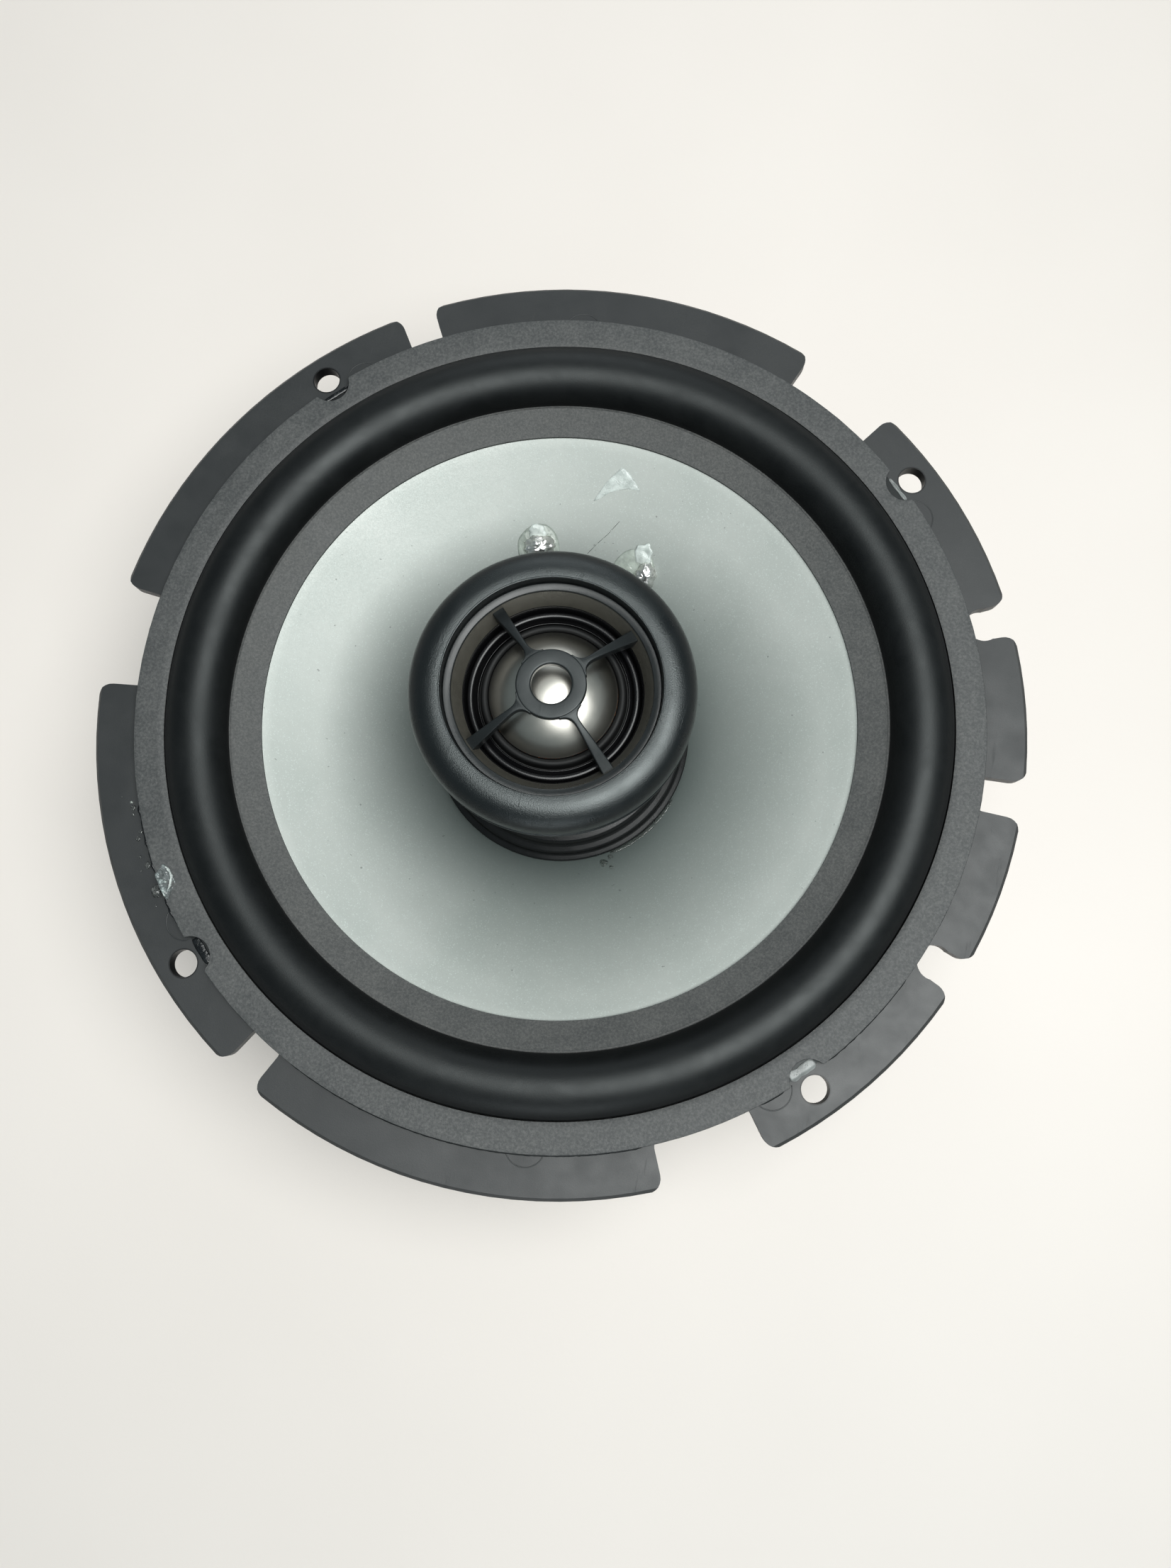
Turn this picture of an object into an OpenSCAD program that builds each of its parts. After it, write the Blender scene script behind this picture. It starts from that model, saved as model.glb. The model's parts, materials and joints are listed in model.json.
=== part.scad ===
// Coaxial car speaker: a 165 mm woofer with a fixed tweeter standing on its pole.
// The origin is the centre of the bolt circle on the flange's rear seating face.
// +Z points out of the front, +X towards the narrow flange gap between the two round notches,
// and the connection panel is on the +Y side.

/* [Flange] */
// Diameter of the circle through the four mounting holes
bolt_circle_d = 156; // [155:0.5:157]
// Diameter of each mounting hole
bolt_hole_d = 4.8; // [4:0.1:5.2]
// Overall diameter across the flange tabs
flange_d = 166; // [165:0.5:168]
// Thickness of the flange
flange_t = 2.5; // [2:0.1:3]
// Radius that the tabs are cut back to in each gap
gap_floor_r = 74.9; // [74.5:0.1:75.2]
// Angle of a narrow gap
narrow_gap_deg = 4.6; // [4:0.1:6]
// Angle of a wide gap
wide_gap_deg = 13; // [10:0.5:14]
// Angle from the +X axis to each of the two round notches
notch_at_deg = 23; // [21:0.5:25]
// Radius of a round notch
notch_r = 3; // [2.6:0.1:3.2]
// Radius of the rounded tab corners
tab_corner_r = 2.6; // [2:0.1:3]

/* [Basket] */
// Radius of the wall that drops into the panel cut-out
spigot_r = 71.6; // [71.2:0.1:72]
// Number of legs between the flange and the spider shelf
leg_count = 6; // [6]
// Angle of the window between two legs
window_deg = 42; // [36:1:44]

/* [Woofer diaphragm] */
// Outer radius of the surround roll and inner radius of the gasket
roll_outer_r = 69.8; // [69.5:0.1:70]
// Inner radius of the surround roll
roll_inner_r = 58.7; // [58.4:0.1:59]
// Height of the surround roll above its seat
roll_h = 5.2; // [4:0.1:6]
// Radius where the silver face of the cone meets the surround
cone_face_r = 53.4; // [53:0.1:54]
// Height of the cone at that radius
cone_face_z = 0.75; // [0.5:0.05:1]
// Height of the neck of the cone
neck_z = -20.9; // [-21.5:0.1:-20.5]
// Largest movement of the cone each way
cone_travel = 5; // [3:0.5:5]

/* [Motor] */
// Outer radius of the ferrite magnet
magnet_r = 40; // [38:0.5:41]
// Thickness of the ferrite magnet
magnet_t = 12; // [11:0.5:14]
// Thickness of the top plate and of the yoke plate
plate_t = 4; // [4:0.5:5]
// Outer radius of the voice coil former
former_r = 13; // [13]

/* [Tweeter] */
// Largest radius of the tweeter rim
rim_r = 23.6; // [23.3:0.1:23.9]
// Height of the crest of the tweeter rim
rim_top_z = 24.6; // [24.3:0.1:25]
// Inner radius of the grille ring
grille_bore_r = 16.7; // [16.5:0.1:16.9]
// Radius of the tweeter dome
dome_r = 10.7; // [10.5:0.1:10.8]
// Height of the dome above its edge
dome_h = 4.2; // [3.6:0.1:4.6]

/* [Hidden] */
$fn = 96;
e = 0.01;

// Flange and seats
flange_r = flange_d / 2;
bolt_r = bolt_circle_d / 2;
bolt_angles = [45, 135, 225, 315];
narrow_gaps = [0, 120, 240];
wide_gaps = [60, 180, 300];
notch_angles = [notch_at_deg, 360 - notch_at_deg];
notch_mouth_deg = 4.2;
floor_fillet_r = 1.2;
corner_overrun = 0.12;
edge_bevel = 0.6;
lip_t = 0.5;
gasket_t = 1.5;
gasket_outer_r = gap_floor_r + 0.4;
gasket_z = flange_t + lip_t;
gasket_notch_at_r = 76.1;
gasket_notch_r = 3.5;
lip_outer_r = gap_floor_r - 0.3;

// Basket
wall_t = 2.6;
window_low_r = 47;
window_top_z = -5;
shelf_z = -26;
shelf_inner_r = 36.6;
floor_z = -30;
top_plate_z = -32;
floor_hole_r = 25;
leg_angles = [for (i = [0 : leg_count - 1]) (i + 0.5) * 360 / leg_count];
rib_t = 1.8;
floor_screw_at_r = 30;
floor_screw_angles = [0, 90, 180, 270];
floor_screw_r = 1.5;

// Woofer diaphragm
cone_t = 0.9;
former_wall = 0.25;
former_top_z = neck_z + 0.7;
coil_wire_t = 0.5;
coil_h = 10;
cone_edge_z = cone_face_z + 1.95;
cone_slope = (cone_face_z - neck_z) / (cone_face_r - former_r);
roll_t = 0.6;
roll_mid_r = (roll_outer_r + roll_inner_r) / 2;
roll_half_w = (roll_outer_r - roll_inner_r) / 2;
dust_ring_r = 24.3;
dust_hole_r = 10.5;

// Motor
magnet_bore_r = 22;
magnet_top_z = top_plate_z - plate_t;
yoke_top_z = magnet_top_z - magnet_t;
back_z = yoke_top_z - plate_t;
plate_r = magnet_r - 2;
gap_outer_r = former_r + coil_wire_t + 0.4;
pole_r = former_r - former_wall - 0.4;
pole_top_z = top_plate_z + 0.5;
boot_t = 1.4;
boot_lip = 1.2;
boot_top_z = magnet_top_z + 1;
coil_mid_z = top_plate_z - plate_t / 2;

// Tweeter stand
post_r = 8.6;
post_foot_r = 11.4;
post_foot_t = 2;
housing_z = 2;
bolt_shank_r = 2;
bolt_clear = 0.25;
lead_way_y = 5.2;
lead_way_r = 1.6;
nut_z = housing_z + 2;

// Tweeter motor and diaphragm
rim_low_z = 17.8;
housing_r = 20.5;
housing_top_z = 19.6;
insert_r = 17.7;
insert_low_z = 18.5;
insert_top_z = 22.4;
face_z = 16;
pot_z = 7;
pot_r = 13.6;
pot_wall = 2.1;
pot_top_z = 15.65;
disc_r = 9.6;
dome_edge_z = 17.7;
dome_t = 0.3;
tweeter_former_r = 10.25;
hub_r = 5.7;
hub_hole_r = 3.25;
hub_top_z = 25.4;

// Connection panel
panel_y = 57;
panel_t = 2;
panel_w = 32;
panel_low_z = -40;
panel_top_z = -20.6;
panel_at_deg = 90;
rivet_z = -22.4;
blade_t = 0.8;
blade_out = 9;
blade_z = -27;
blade_x = 11.5;
cap_r = 5;
cap_len = 22;
cap_y = 51.6;
cap_z = -34.5;

// Where the voice coil ends are soldered to the tinsel leads
joint_places = [[36.6, 107.7], [34.7, 74.6]];

// Routes of the tinsel leads, from the connection panel to the cone
tinsel_route_left = [
    [-11.5, 55.2, -24.2],
    [-11.8, 53.4, -25.3],
    [-12.4, 50.8, -25.2],
    [-12.8, 48.0, -23.0],
    [-12.7, 45.0, -19.6],
    [-12.3, 41.5, -16.0],
    [-11.7, 38.0, -13.4],
    [-11.3, 35.8, -11.8],
    [-11.15, 35.0, -10.7]
];
tinsel_route_right = [
    [11.5, 55.2, -24.2],
    [11.8, 53.4, -25.3],
    [12.2, 50.8, -25.2],
    [12.4, 48.0, -23.0],
    [12.1, 44.5, -19.4],
    [11.3, 40.5, -16.2],
    [10.2, 36.5, -13.9],
    [9.5, 34.5, -12.8],
    [9.25, 33.6, -11.8]
];

// Middle line of the tweeter lead pair, from beside the magnet up into the tweeter
tweeter_route = [
    [0, 44.4, -44.8],
    [0, 43.2, -48.0],
    [0, 41.4, -50.4],
    [0, 38.0, -51.0],
    [0, 30.0, -51.0],
    [0, 20.0, -51.0],
    [0, 10.0, -51.0],
    [0, 7.6, -50.9],
    [0, 6.2, -50.4],
    [0, 5.4, -49.2],
    [0, 5.2, -47.0],
    [0, 5.2, -30.0],
    [0, 5.2, -15.0],
    [0, 5.2, 0.0],
    [0, 5.3, 3.6],
    [0, 6.6, 5.2],
    [0, 9.0, 5.6],
    [0, 13.0, 5.6],
    [0, 15.4, 6.8],
    [0, 16.2, 9.0],
    [0, 16.2, 12.8]
];

// Outer ends of the two tweeter leads, from the capacitor and from the negative tag
positive_end = [
    [13.8, 51.5, -36.0],
    [12.8, 50.5, -39.6],
    [8.5, 49.6, -42.0],
    [3.5, 48.0, -42.8],
    [0.9, 46.0, -43.2]
];
negative_end = [
    [11.5, 55.7, -28.0],
    [12.2, 55.5, -31.0],
    [12.4, 55.3, -36.5],
    [10.6, 54.9, -41.4],
    [7.0, 54.3, -42.6],
    [2.5, 52.6, -43.5],
    [-0.7, 49.0, -43.6],
    [-0.8, 46.2, -43.4]
];

// Wire ends of the capacitor, to the positive tag and to the positive tweeter lead
capacitor_wire_left = [
    [-10.9, 51.6, -34.5],
    [-13.2, 51.6, -34.5],
    [-14.0, 52.2, -33.8],
    [-13.6, 53.8, -31.6],
    [-12.8, 55.2, -29.8],
    [-12.4, 55.6, -28.2]
];
capacitor_wire_right = [
    [10.9, 51.6, -34.5],
    [13.0, 51.6, -34.5],
    [13.8, 51.6, -35.2]
];
lead_d = 1;
lead_apart = 0.6;
tinsel_d = 1.4;
wire_d = 0.7;

// Points on an arc about the origin, or about c
function arc(r, from, to, n, c = [0, 0]) =
    [for (i = [0 : n]) let (a = from + (to - from) * i / n) c + r * [cos(a), sin(a)]];

// Points at radius r and angle a
function polar(r, a) = r * [cos(a), sin(a)];

// Height of the front face of the cone at radius r
function cone_z(r) = neck_z + (r - former_r) * cone_slope;

// One end of a gap: the floor's fillet and the tab's rounded corner, for a wall at angle h
function gap_side(h, floor_r) =
    let (
        in_r = floor_r + floor_fillet_r,
        in_a = h - asin(floor_fillet_r / in_r),
        out_r = flange_r + corner_overrun - tab_corner_r,
        out_a = h + asin(tab_corner_r / out_r)
    )
    concat(
        arc(floor_fillet_r, in_a + 180, h + 90, 4, polar(in_r, in_a)),
        arc(tab_corner_r, h - 90, out_a, 6, polar(out_r, out_a)),
        [polar(flange_r + 4, out_a)]
    );

// Mirrors a list of points over the X axis and runs it backwards
function mirrored(p) = [for (i = [len(p) - 1 : -1 : 0]) [p[i][0], -p[i][1]]];

// Unit vectors used to lay rings around a route
function unit(v) = v / norm(v);
function heading(p, i) = unit(p[min(i + 1, len(p) - 1)] - p[max(i - 1, 0)]);
function side_of(t) = unit(cross(t, abs(t[0]) > 0.9 ? [0, 1, 0] : [1, 0, 0]));

// A round tube along a list of points
module tube(points, d, sides = 8) {
    n = len(points);
    rings = [for (i = [0 : n - 1]) let (
            t = heading(points, i),
            u = side_of(t),
            v = cross(t, u)
        )
        for (k = [0 : sides - 1]) points[i] + d / 2 * (u * cos(360 * k / sides) + v * sin(360 * k / sides))];
    walls = [for (i = [0 : n - 2]) for (k = [0 : sides - 1]) let (m = (k + 1) % sides)
        [i * sides + k, i * sides + m, (i + 1) * sides + m, (i + 1) * sides + k]];
    first = [for (k = [sides - 1 : -1 : 0]) k];
    last = [for (k = [0 : sides - 1]) (n - 1) * sides + k];
    polyhedron(rings, concat([first], walls, [last]));
}

// A washer-like solid between two radii and two heights
module ring(r_in, r_out, z_low, z_high) {
    rotate_extrude()
        translate([r_in, z_low])
            square([r_out - r_in, z_high - z_low]);
}

// A cylinder given by its two heights
module rod(r, z_low, z_high) {
    translate([0, 0, z_low])
        cylinder(r = r, h = z_high - z_low);
}

// The cut through the flange for a gap of the given angle
module gap_cut(at, deg, floor_r = gap_floor_r) {
    side = gap_side(deg / 2, floor_r);
    rotate(at)
        translate([0, 0, -1])
            linear_extrude(flange_t + 2)
                polygon(concat(side, mirrored(side)));
}

// A round notch with a narrow mouth
module notch_cut(at) {
    gap_cut(at, notch_mouth_deg, gap_floor_r + notch_r);
    rotate(at)
        translate([gap_floor_r + notch_r, 0, -1])
            cylinder(r = notch_r, h = flange_t + 2);
}

// The opening between two legs
module window_cut(at) {
    half = window_deg / 2;
    rotate(at)
        translate([0, 0, shelf_z - 4])
            linear_extrude(window_top_z - shelf_z + 4)
                polygon(concat(arc(window_low_r, -half, half, 12), arc(90, half, -half, 6)));
}

// The rib down the outside of a leg
module leg_rib(at) {
    rotate(at)
        rotate([90, 0, 0])
            translate([0, 0, -rib_t / 2])
                linear_extrude(rib_t)
                    polygon([
                        [38.8, top_plate_z + 1.2],
                        [45, top_plate_z + 1.2],
                        [68, -18.4],
                        [spigot_r - 0.2, -12],
                        [spigot_r - 1.3, -6.5],
                        [66, -14.4],
                        [43.2, -25.6]
                    ]);
}

module basket() {
    wall = [
        [roll_outer_r, flange_t],
        [69, -8],
        [64, -13],
        [44.5, -23.4],
        [42, -24],
        [40.8, shelf_z],
        [shelf_inner_r, shelf_z],
        [shelf_inner_r - 0.6, -28],
        [shelf_inner_r - 1.6, floor_z],
        [floor_hole_r, floor_z],
        [floor_hole_r, top_plate_z],
        [38.6, top_plate_z],
        [41, -30],
        [43.8, -26.6],
        [66.3, -15.6],
        [spigot_r - 0.6, -9.5],
        [spigot_r, -8.6],
        [spigot_r, 0],
        [flange_r, 0],
        [flange_r, flange_t - edge_bevel],
        [flange_r - edge_bevel, flange_t]
    ];
    color([0.16, 0.17, 0.17])
        difference() {
            union() {
                difference() {
                    rotate_extrude()
                        polygon(wall);
                    for (a = [0 : 360 / leg_count : 359])
                        window_cut(a);
                }
                for (a = leg_angles)
                    if (a != panel_at_deg)
                        leg_rib(a);
                // Boss that carries the connection panel
                translate([-6, 52, -25.4])
                    cube([12, panel_y - 52, 5.8]);
            }
            for (a = narrow_gaps)
                gap_cut(a, narrow_gap_deg);
            for (a = wide_gaps)
                gap_cut(a, wide_gap_deg);
            for (a = notch_angles)
                notch_cut(a);
            for (a = bolt_angles)
                rotate(a)
                    translate([bolt_r, 0, -1])
                        cylinder(d = bolt_hole_d, h = flange_t + 2);
            for (a = floor_screw_angles)
                rotate(a)
                    translate([floor_screw_at_r, 0, top_plate_z - 1])
                        cylinder(r = floor_screw_r + 0.05, h = 4);
            translate([0, panel_y - 3.5, rivet_z])
                rotate([-90, 0, 0])
                    cylinder(r = 1.25, h = 5);
        }
}

module gasket() {
    color([0.30, 0.31, 0.31])
        difference() {
            ring(roll_outer_r, gasket_outer_r, gasket_z, gasket_z + gasket_t);
            for (a = bolt_angles)
                rotate(a)
                    translate([gasket_notch_at_r, 0, gasket_z - 1])
                        cylinder(r = gasket_notch_r, h = gasket_t + 2);
        }
}

module surround() {
    outer = arc(roll_half_w, 0, 180, 24);
    inner = arc(roll_half_w - roll_t, 180, 0, 24);
    squash = roll_h / roll_half_w;
    color([0.07, 0.07, 0.07])
        rotate_extrude()
            polygon(concat(
                [[lip_outer_r, flange_t], [lip_outer_r, gasket_z]],
                [for (p = outer) [roll_mid_r + p[0], gasket_z + p[1] * squash]],
                [[cone_face_r, cone_face_z + 0.5], [cone_face_r, cone_face_z + 0.05],
                 [roll_inner_r, cone_edge_z + 0.05]],
                [for (p = inner) [roll_mid_r + p[0], gasket_z - 0.4 + p[1] * squash]],
                [[roll_outer_r, flange_t]]
            ));
}

module cone() {
    color([0.72, 0.75, 0.73])
        difference() {
            rotate_extrude()
                polygon([
                    [former_r + 0.02, neck_z],
                    [cone_face_r, cone_face_z],
                    [roll_inner_r, cone_edge_z],
                    [roll_inner_r, cone_edge_z - cone_t],
                    [cone_face_r, cone_face_z - cone_t],
                    [former_r + cone_t, neck_z - cone_t],
                    [former_r + cone_t, neck_z - 2],
                    [former_r + 0.02, neck_z - 2]
                ]);
            for (j = joint_places)
                rotate(j[1])
                    translate([j[0], 0, cone_z(j[0]) - 4])
                        cylinder(r = 1, h = 8);
        }
}

module dust_ring() {
    foot_z = cone_z(dust_ring_r);
    color([0.06, 0.06, 0.065])
        rotate_extrude()
            polygon([
                [dust_ring_r, foot_z + 0.03],
                [dust_ring_r, foot_z + 1],
                [23.2, foot_z + 1.4],
                [22.9, foot_z + 2.3],
                [21.6, foot_z + 2.8],
                [21.2, foot_z + 3.9],
                [16, foot_z + 5.7],
                [11, foot_z + 6.3],
                [dust_hole_r, foot_z + 6],
                [dust_hole_r, foot_z + 5.3],
                [15.8, foot_z + 4.7],
                [20.5, foot_z + 2.9],
                [21.9, foot_z + 1.7],
                [22.5, cone_z(22.5) + 0.03]
            ]);
}

module voice_coil_former() {
    color([0.80, 0.62, 0.30])
        ring(former_r - former_wall, former_r, coil_mid_z - coil_h / 2, former_top_z);
}

module voice_coil_winding() {
    color([0.72, 0.35, 0.15])
        ring(former_r + 0.02, former_r + coil_wire_t, coil_mid_z - coil_h / 2, coil_mid_z + coil_h / 2);
}

// The two coil ends, which lie on the front face of the cone
module coil_end_wires() {
    slope = atan(cone_slope);
    start_r = 14.6;
    color([0.72, 0.35, 0.15])
        for (j = joint_places)
            rotate(j[1])
                translate([start_r, 0, cone_z(start_r) + 0.24])
                    rotate([0, 90 - slope, 0])
                        cylinder(r = 0.2, h = (j[0] - start_r - 2.4) / cos(slope), $fn = 24);
}

// Eyelets through the cone with their solder
module solder_joints() {
    slope = atan(cone_slope);
    color([0.80, 0.80, 0.79])
        for (j = joint_places)
            rotate(j[1])
                translate([j[0], 0, cone_z(j[0])])
                    union() {
                        intersection() {
                            rotate([0, -slope, 0])
                                translate([0, 0, 0.05])
                                    cylinder(r = 2.2, h = 3);
                            rotate([0, -slope, 0])
                                translate([0, 0, -0.7])
                                    sphere(r = 2.3);
                        }
                        translate([0, 0, -1.7])
                            cylinder(r = 0.95, h = 2.2);
                    }
}

module spider() {
    inner_r = 15;
    outer_r = 36;
    waves = 4;
    depth = 1.1;
    mid = shelf_z + 0.3;
    line = [for (i = [0 : 48]) let (r = inner_r + (outer_r - inner_r) * i / 48)
        [r, mid - depth * sin(360 * waves * i / 48)]];
    centre = concat([[former_r + 0.05, mid]], line, [[40.4, mid]]);
    color([0.78, 0.66, 0.36])
        rotate_extrude()
            polygon(concat(
                [for (p = centre) p + [0, 0.3]],
                [for (i = [len(centre) - 1 : -1 : 0]) centre[i] - [0, 0.3]]
            ));
}

module tinsel_lead_left() {
    color([0.72, 0.60, 0.42])
        tube(tinsel_route_left, tinsel_d);
}

module tinsel_lead_right() {
    color([0.72, 0.60, 0.42])
        tube(tinsel_route_right, tinsel_d);
}

module top_plate() {
    color([0.62, 0.63, 0.62])
        difference() {
            ring(gap_outer_r, plate_r, magnet_top_z, top_plate_z);
            for (a = floor_screw_angles)
                rotate(a)
                    translate([floor_screw_at_r, 0, magnet_top_z - 1])
                        cylinder(r = floor_screw_r + 0.05, h = plate_t + 2);
        }
}

module ferrite_magnet() {
    color([0.20, 0.20, 0.21])
        ring(magnet_bore_r, magnet_r, yoke_top_z, magnet_top_z);
}

// Back plate and pole in one turning, with the bolt hole, the lead hole and the lead groove
module pole_yoke() {
    head_space_r = 4.6;
    color([0.62, 0.63, 0.62])
        difference() {
            union() {
                rod(plate_r, back_z, yoke_top_z);
                rod(pole_r, back_z, pole_top_z);
            }
            rod(bolt_shank_r + bolt_clear, back_z - 1, pole_top_z + 1);
            rod(head_space_r, back_z - 1, back_z + 3.6);
            translate([0, lead_way_y, 0])
                rod(lead_way_r, back_z - 1, pole_top_z + 1);
            translate([-lead_way_r, lead_way_y, back_z - 1])
                cube([2 * lead_way_r, plate_r, 3.2]);
        }
}

// Rubber cover round the magnet, notched where the leads come out
module magnet_boot() {
    boot_r = magnet_r + boot_t;
    color([0.09, 0.09, 0.09])
        difference() {
            rotate_extrude()
                polygon([
                    [magnet_r + 0.02, boot_top_z],
                    [magnet_r + 0.02, back_z - 0.02],
                    [30, back_z - 0.02],
                    [30, back_z - boot_lip],
                    [boot_r - 1, back_z - boot_lip],
                    [boot_r, back_z - boot_lip + 1],
                    [boot_r, boot_top_z]
                ]);
            translate([-1.8, 25, back_z - boot_lip - 1])
                cube([3.6, 20, boot_lip + 4.2]);
        }
}

// Four screws that hold the basket floor on the top plate
module basket_screws() {
    color([0.35, 0.35, 0.36])
        for (a = floor_screw_angles)
            rotate(a)
                translate([floor_screw_at_r, 0, 0])
                    difference() {
                        union() {
                            rod(floor_screw_r, magnet_top_z + 0.5, floor_z + 0.5);
                            rod(2.8, floor_z + 0.02, floor_z + 1.3);
                        }
                        translate([-0.3, -1.8, floor_z + 0.7])
                            cube([0.6, 3.6, 1]);
                        translate([-1.8, -0.3, floor_z + 0.7])
                            cube([3.6, 0.6, 1]);
                    }
}

// Hollow post that stands the tweeter on the pole
module tweeter_post() {
    foot_z = pole_top_z + 0.02;
    color([0.09, 0.09, 0.095])
        difference() {
            union() {
                rod(post_foot_r, foot_z, foot_z + post_foot_t);
                rod(post_r, foot_z, housing_z - 0.02);
            }
            rod(bolt_shank_r + bolt_clear, foot_z - 1, housing_z + 1);
            translate([0, lead_way_y, 0])
                rod(lead_way_r, foot_z - 1, housing_z + 1);
        }
}

module post_bolt() {
    color([0.70, 0.70, 0.70])
        difference() {
            union() {
                rod(bolt_shank_r, back_z + 0.4, pot_z - 0.2);
                rod(3.5, back_z + 0.3, back_z + 3.58);
            }
            translate([-0.4, -2.2, back_z - 1])
                cube([0.8, 4.4, 2.4]);
            translate([-2.2, -0.4, back_z - 1])
                cube([4.4, 0.8, 2.4]);
        }
}

module post_nut() {
    color([0.70, 0.70, 0.70])
        difference() {
            translate([0, 0, nut_z + 0.02])
                cylinder(r = 4, h = 2.6, $fn = 6);
            rod(bolt_shank_r + 0.05, nut_z - 1, nut_z + 4);
        }
}

// Cup that holds the tweeter motor, with a seat for the pot and a ledge for the face ring
module tweeter_housing() {
    floor_top = housing_z + 2;
    color([0.09, 0.09, 0.095])
        difference() {
            rotate_extrude()
                polygon([
                    [0, housing_z],
                    [14, housing_z],
                    [housing_r, 6.5],
                    [housing_r, housing_top_z],
                    [insert_r, housing_top_z],
                    [insert_r, face_z],
                    [14.4, face_z],
                    [14.4, 13.6],
                    [insert_r, 13.6],
                    [insert_r, 7.4],
                    [14.2, 5],
                    [14.2, pot_z],
                    [11.5, pot_z],
                    [11.5, floor_top],
                    [0, floor_top]
                ]);
            rod(bolt_shank_r + bolt_clear, housing_z - 1, floor_top + 1);
            translate([0, lead_way_y, 0])
                rod(lead_way_r, housing_z - 1, floor_top + 1);
            translate([-lead_way_r, 11, floor_top])
                cube([2 * lead_way_r, 6, 9.2]);
        }
}

// Rounded outer ring of the tweeter, with a thin lip along its lower edge
module tweeter_rim() {
    crest_r = 19.6;
    side_r = rim_r - 0.1;
    shoulder = arc(1, 0, 90, 12);
    shoulder_z = 20.6;
    rise = rim_top_z - shoulder_z;
    color([0.13, 0.135, 0.14])
        rotate_extrude()
            polygon(concat(
                [[housing_r + 0.05, rim_low_z], [rim_r, rim_low_z], [rim_r, rim_low_z + 0.45],
                 [side_r - 0.25, rim_low_z + 0.7], [side_r, shoulder_z - 1]],
                [for (p = shoulder) [crest_r + p[0] * (rim_r - crest_r), shoulder_z + p[1] * rise]],
                [[crest_r - 1, rim_top_z - 0.05], [insert_r + 0.3, rim_top_z - 0.35],
                 [insert_r + 0.05, rim_top_z - 0.75], [insert_r + 0.05, housing_top_z + 0.05],
                 [housing_r + 0.05, housing_top_z + 0.05]]
            ));
}

// One tapered spoke, which slopes down from the hub to the grille ring
module grille_spoke() {
    reach = grille_bore_r + 0.4;
    intersection() {
        translate([0, 0, 18])
            linear_extrude(9)
                polygon([[4.6, -1.1], [7.4, -0.45], [reach, -1.2], [reach, 1.2], [7.4, 0.45], [4.6, 1.1]]);
        rotate([90, 0, 0])
            translate([0, 0, -3])
                linear_extrude(6)
                    polygon([[4, hub_top_z - 1.4], [4, hub_top_z - 0.05], [6.4, hub_top_z - 0.1],
                             [reach, insert_top_z - 1.1], [reach, insert_low_z + 0.8]]);
    }
}

// Insert with the hub and four spokes in front of the dome
module tweeter_grille() {
    wall_foot_r = 15;
    color([0.13, 0.135, 0.14])
        union() {
            rotate_extrude()
                polygon([
                    [insert_r, insert_low_z],
                    [insert_r, insert_top_z],
                    [grille_bore_r, insert_top_z - 0.6],
                    [wall_foot_r, insert_low_z]
                ]);
            rotate_extrude()
                polygon([
                    [hub_hole_r, hub_top_z - 1.4],
                    [hub_hole_r, hub_top_z - 0.2],
                    [hub_hole_r + 0.3, hub_top_z],
                    [hub_r - 0.3, hub_top_z],
                    [hub_r, hub_top_z - 0.3],
                    [hub_r, hub_top_z - 1.4]
                ]);
            for (a = bolt_angles)
                rotate(a)
                    grille_spoke();
        }
}

// Stepped black ring that clamps the tweeter diaphragm
module tweeter_face_ring() {
    color([0.05, 0.05, 0.05])
        rotate_extrude()
            polygon([
                [insert_r - 0.1, face_z + 0.02],
                [insert_r - 0.1, insert_low_z - 0.05],
                [15, insert_low_z - 0.1],
                [14.6, insert_low_z - 0.5],
                [14.3, face_z + 1.5],
                [13.5, face_z + 1.2],
                [13.1, face_z + 0.6],
                [12.5, face_z + 0.5],
                [12.4, face_z + 0.02]
            ]);
}

module tweeter_pot() {
    color([0.60, 0.60, 0.60])
        rotate_extrude()
            polygon([
                [0, pot_z + 0.02],
                [pot_r, pot_z + 0.02],
                [pot_r, pot_top_z],
                [pot_r - pot_wall, pot_top_z],
                [pot_r - pot_wall, pot_z + 2],
                [0, pot_z + 2]
            ]);
}

module tweeter_magnet() {
    color([0.75, 0.76, 0.78])
        rod(9, pot_z + 2.02, 12.6);
}

module tweeter_pole_disc() {
    color([0.60, 0.60, 0.60])
        rod(disc_r, 12.62, 15);
}

module tweeter_dome() {
    ball_r = (dome_r * dome_r + dome_h * dome_h) / (2 * dome_h);
    ball_z = dome_edge_z + dome_h - ball_r;
    skirt_r = tweeter_former_r - 0.3;
    half = asin(dome_r / ball_r);
    half_in = asin(skirt_r / (ball_r - dome_t));
    color([0.66, 0.66, 0.65])
        rotate_extrude()
            polygon(concat(
                [for (p = arc(ball_r, 90 - half, 90, 12)) p + [0, ball_z]],
                [for (p = arc(ball_r - dome_t, 90, 90 - half_in, 12)) p + [0, ball_z]],
                [[dome_r - 0.1, dome_edge_z - 0.3]]
            ));
}

// Soft roll between the dome and its clamped edge
module tweeter_surround() {
    color([0.04, 0.04, 0.04])
        rotate_extrude()
            polygon([
                [dome_r + 0.02, dome_edge_z - 0.3],
                [dome_r + 0.02, dome_edge_z],
                [11.3, dome_edge_z + 0.05],
                [12, face_z + 0.7],
                [12.3, face_z],
                [14.3, face_z],
                [14.3, face_z - 0.3],
                [12.05, face_z - 0.3],
                [11.75, face_z + 0.5],
                [11.2, dome_edge_z - 0.25]
            ]);
}

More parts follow.
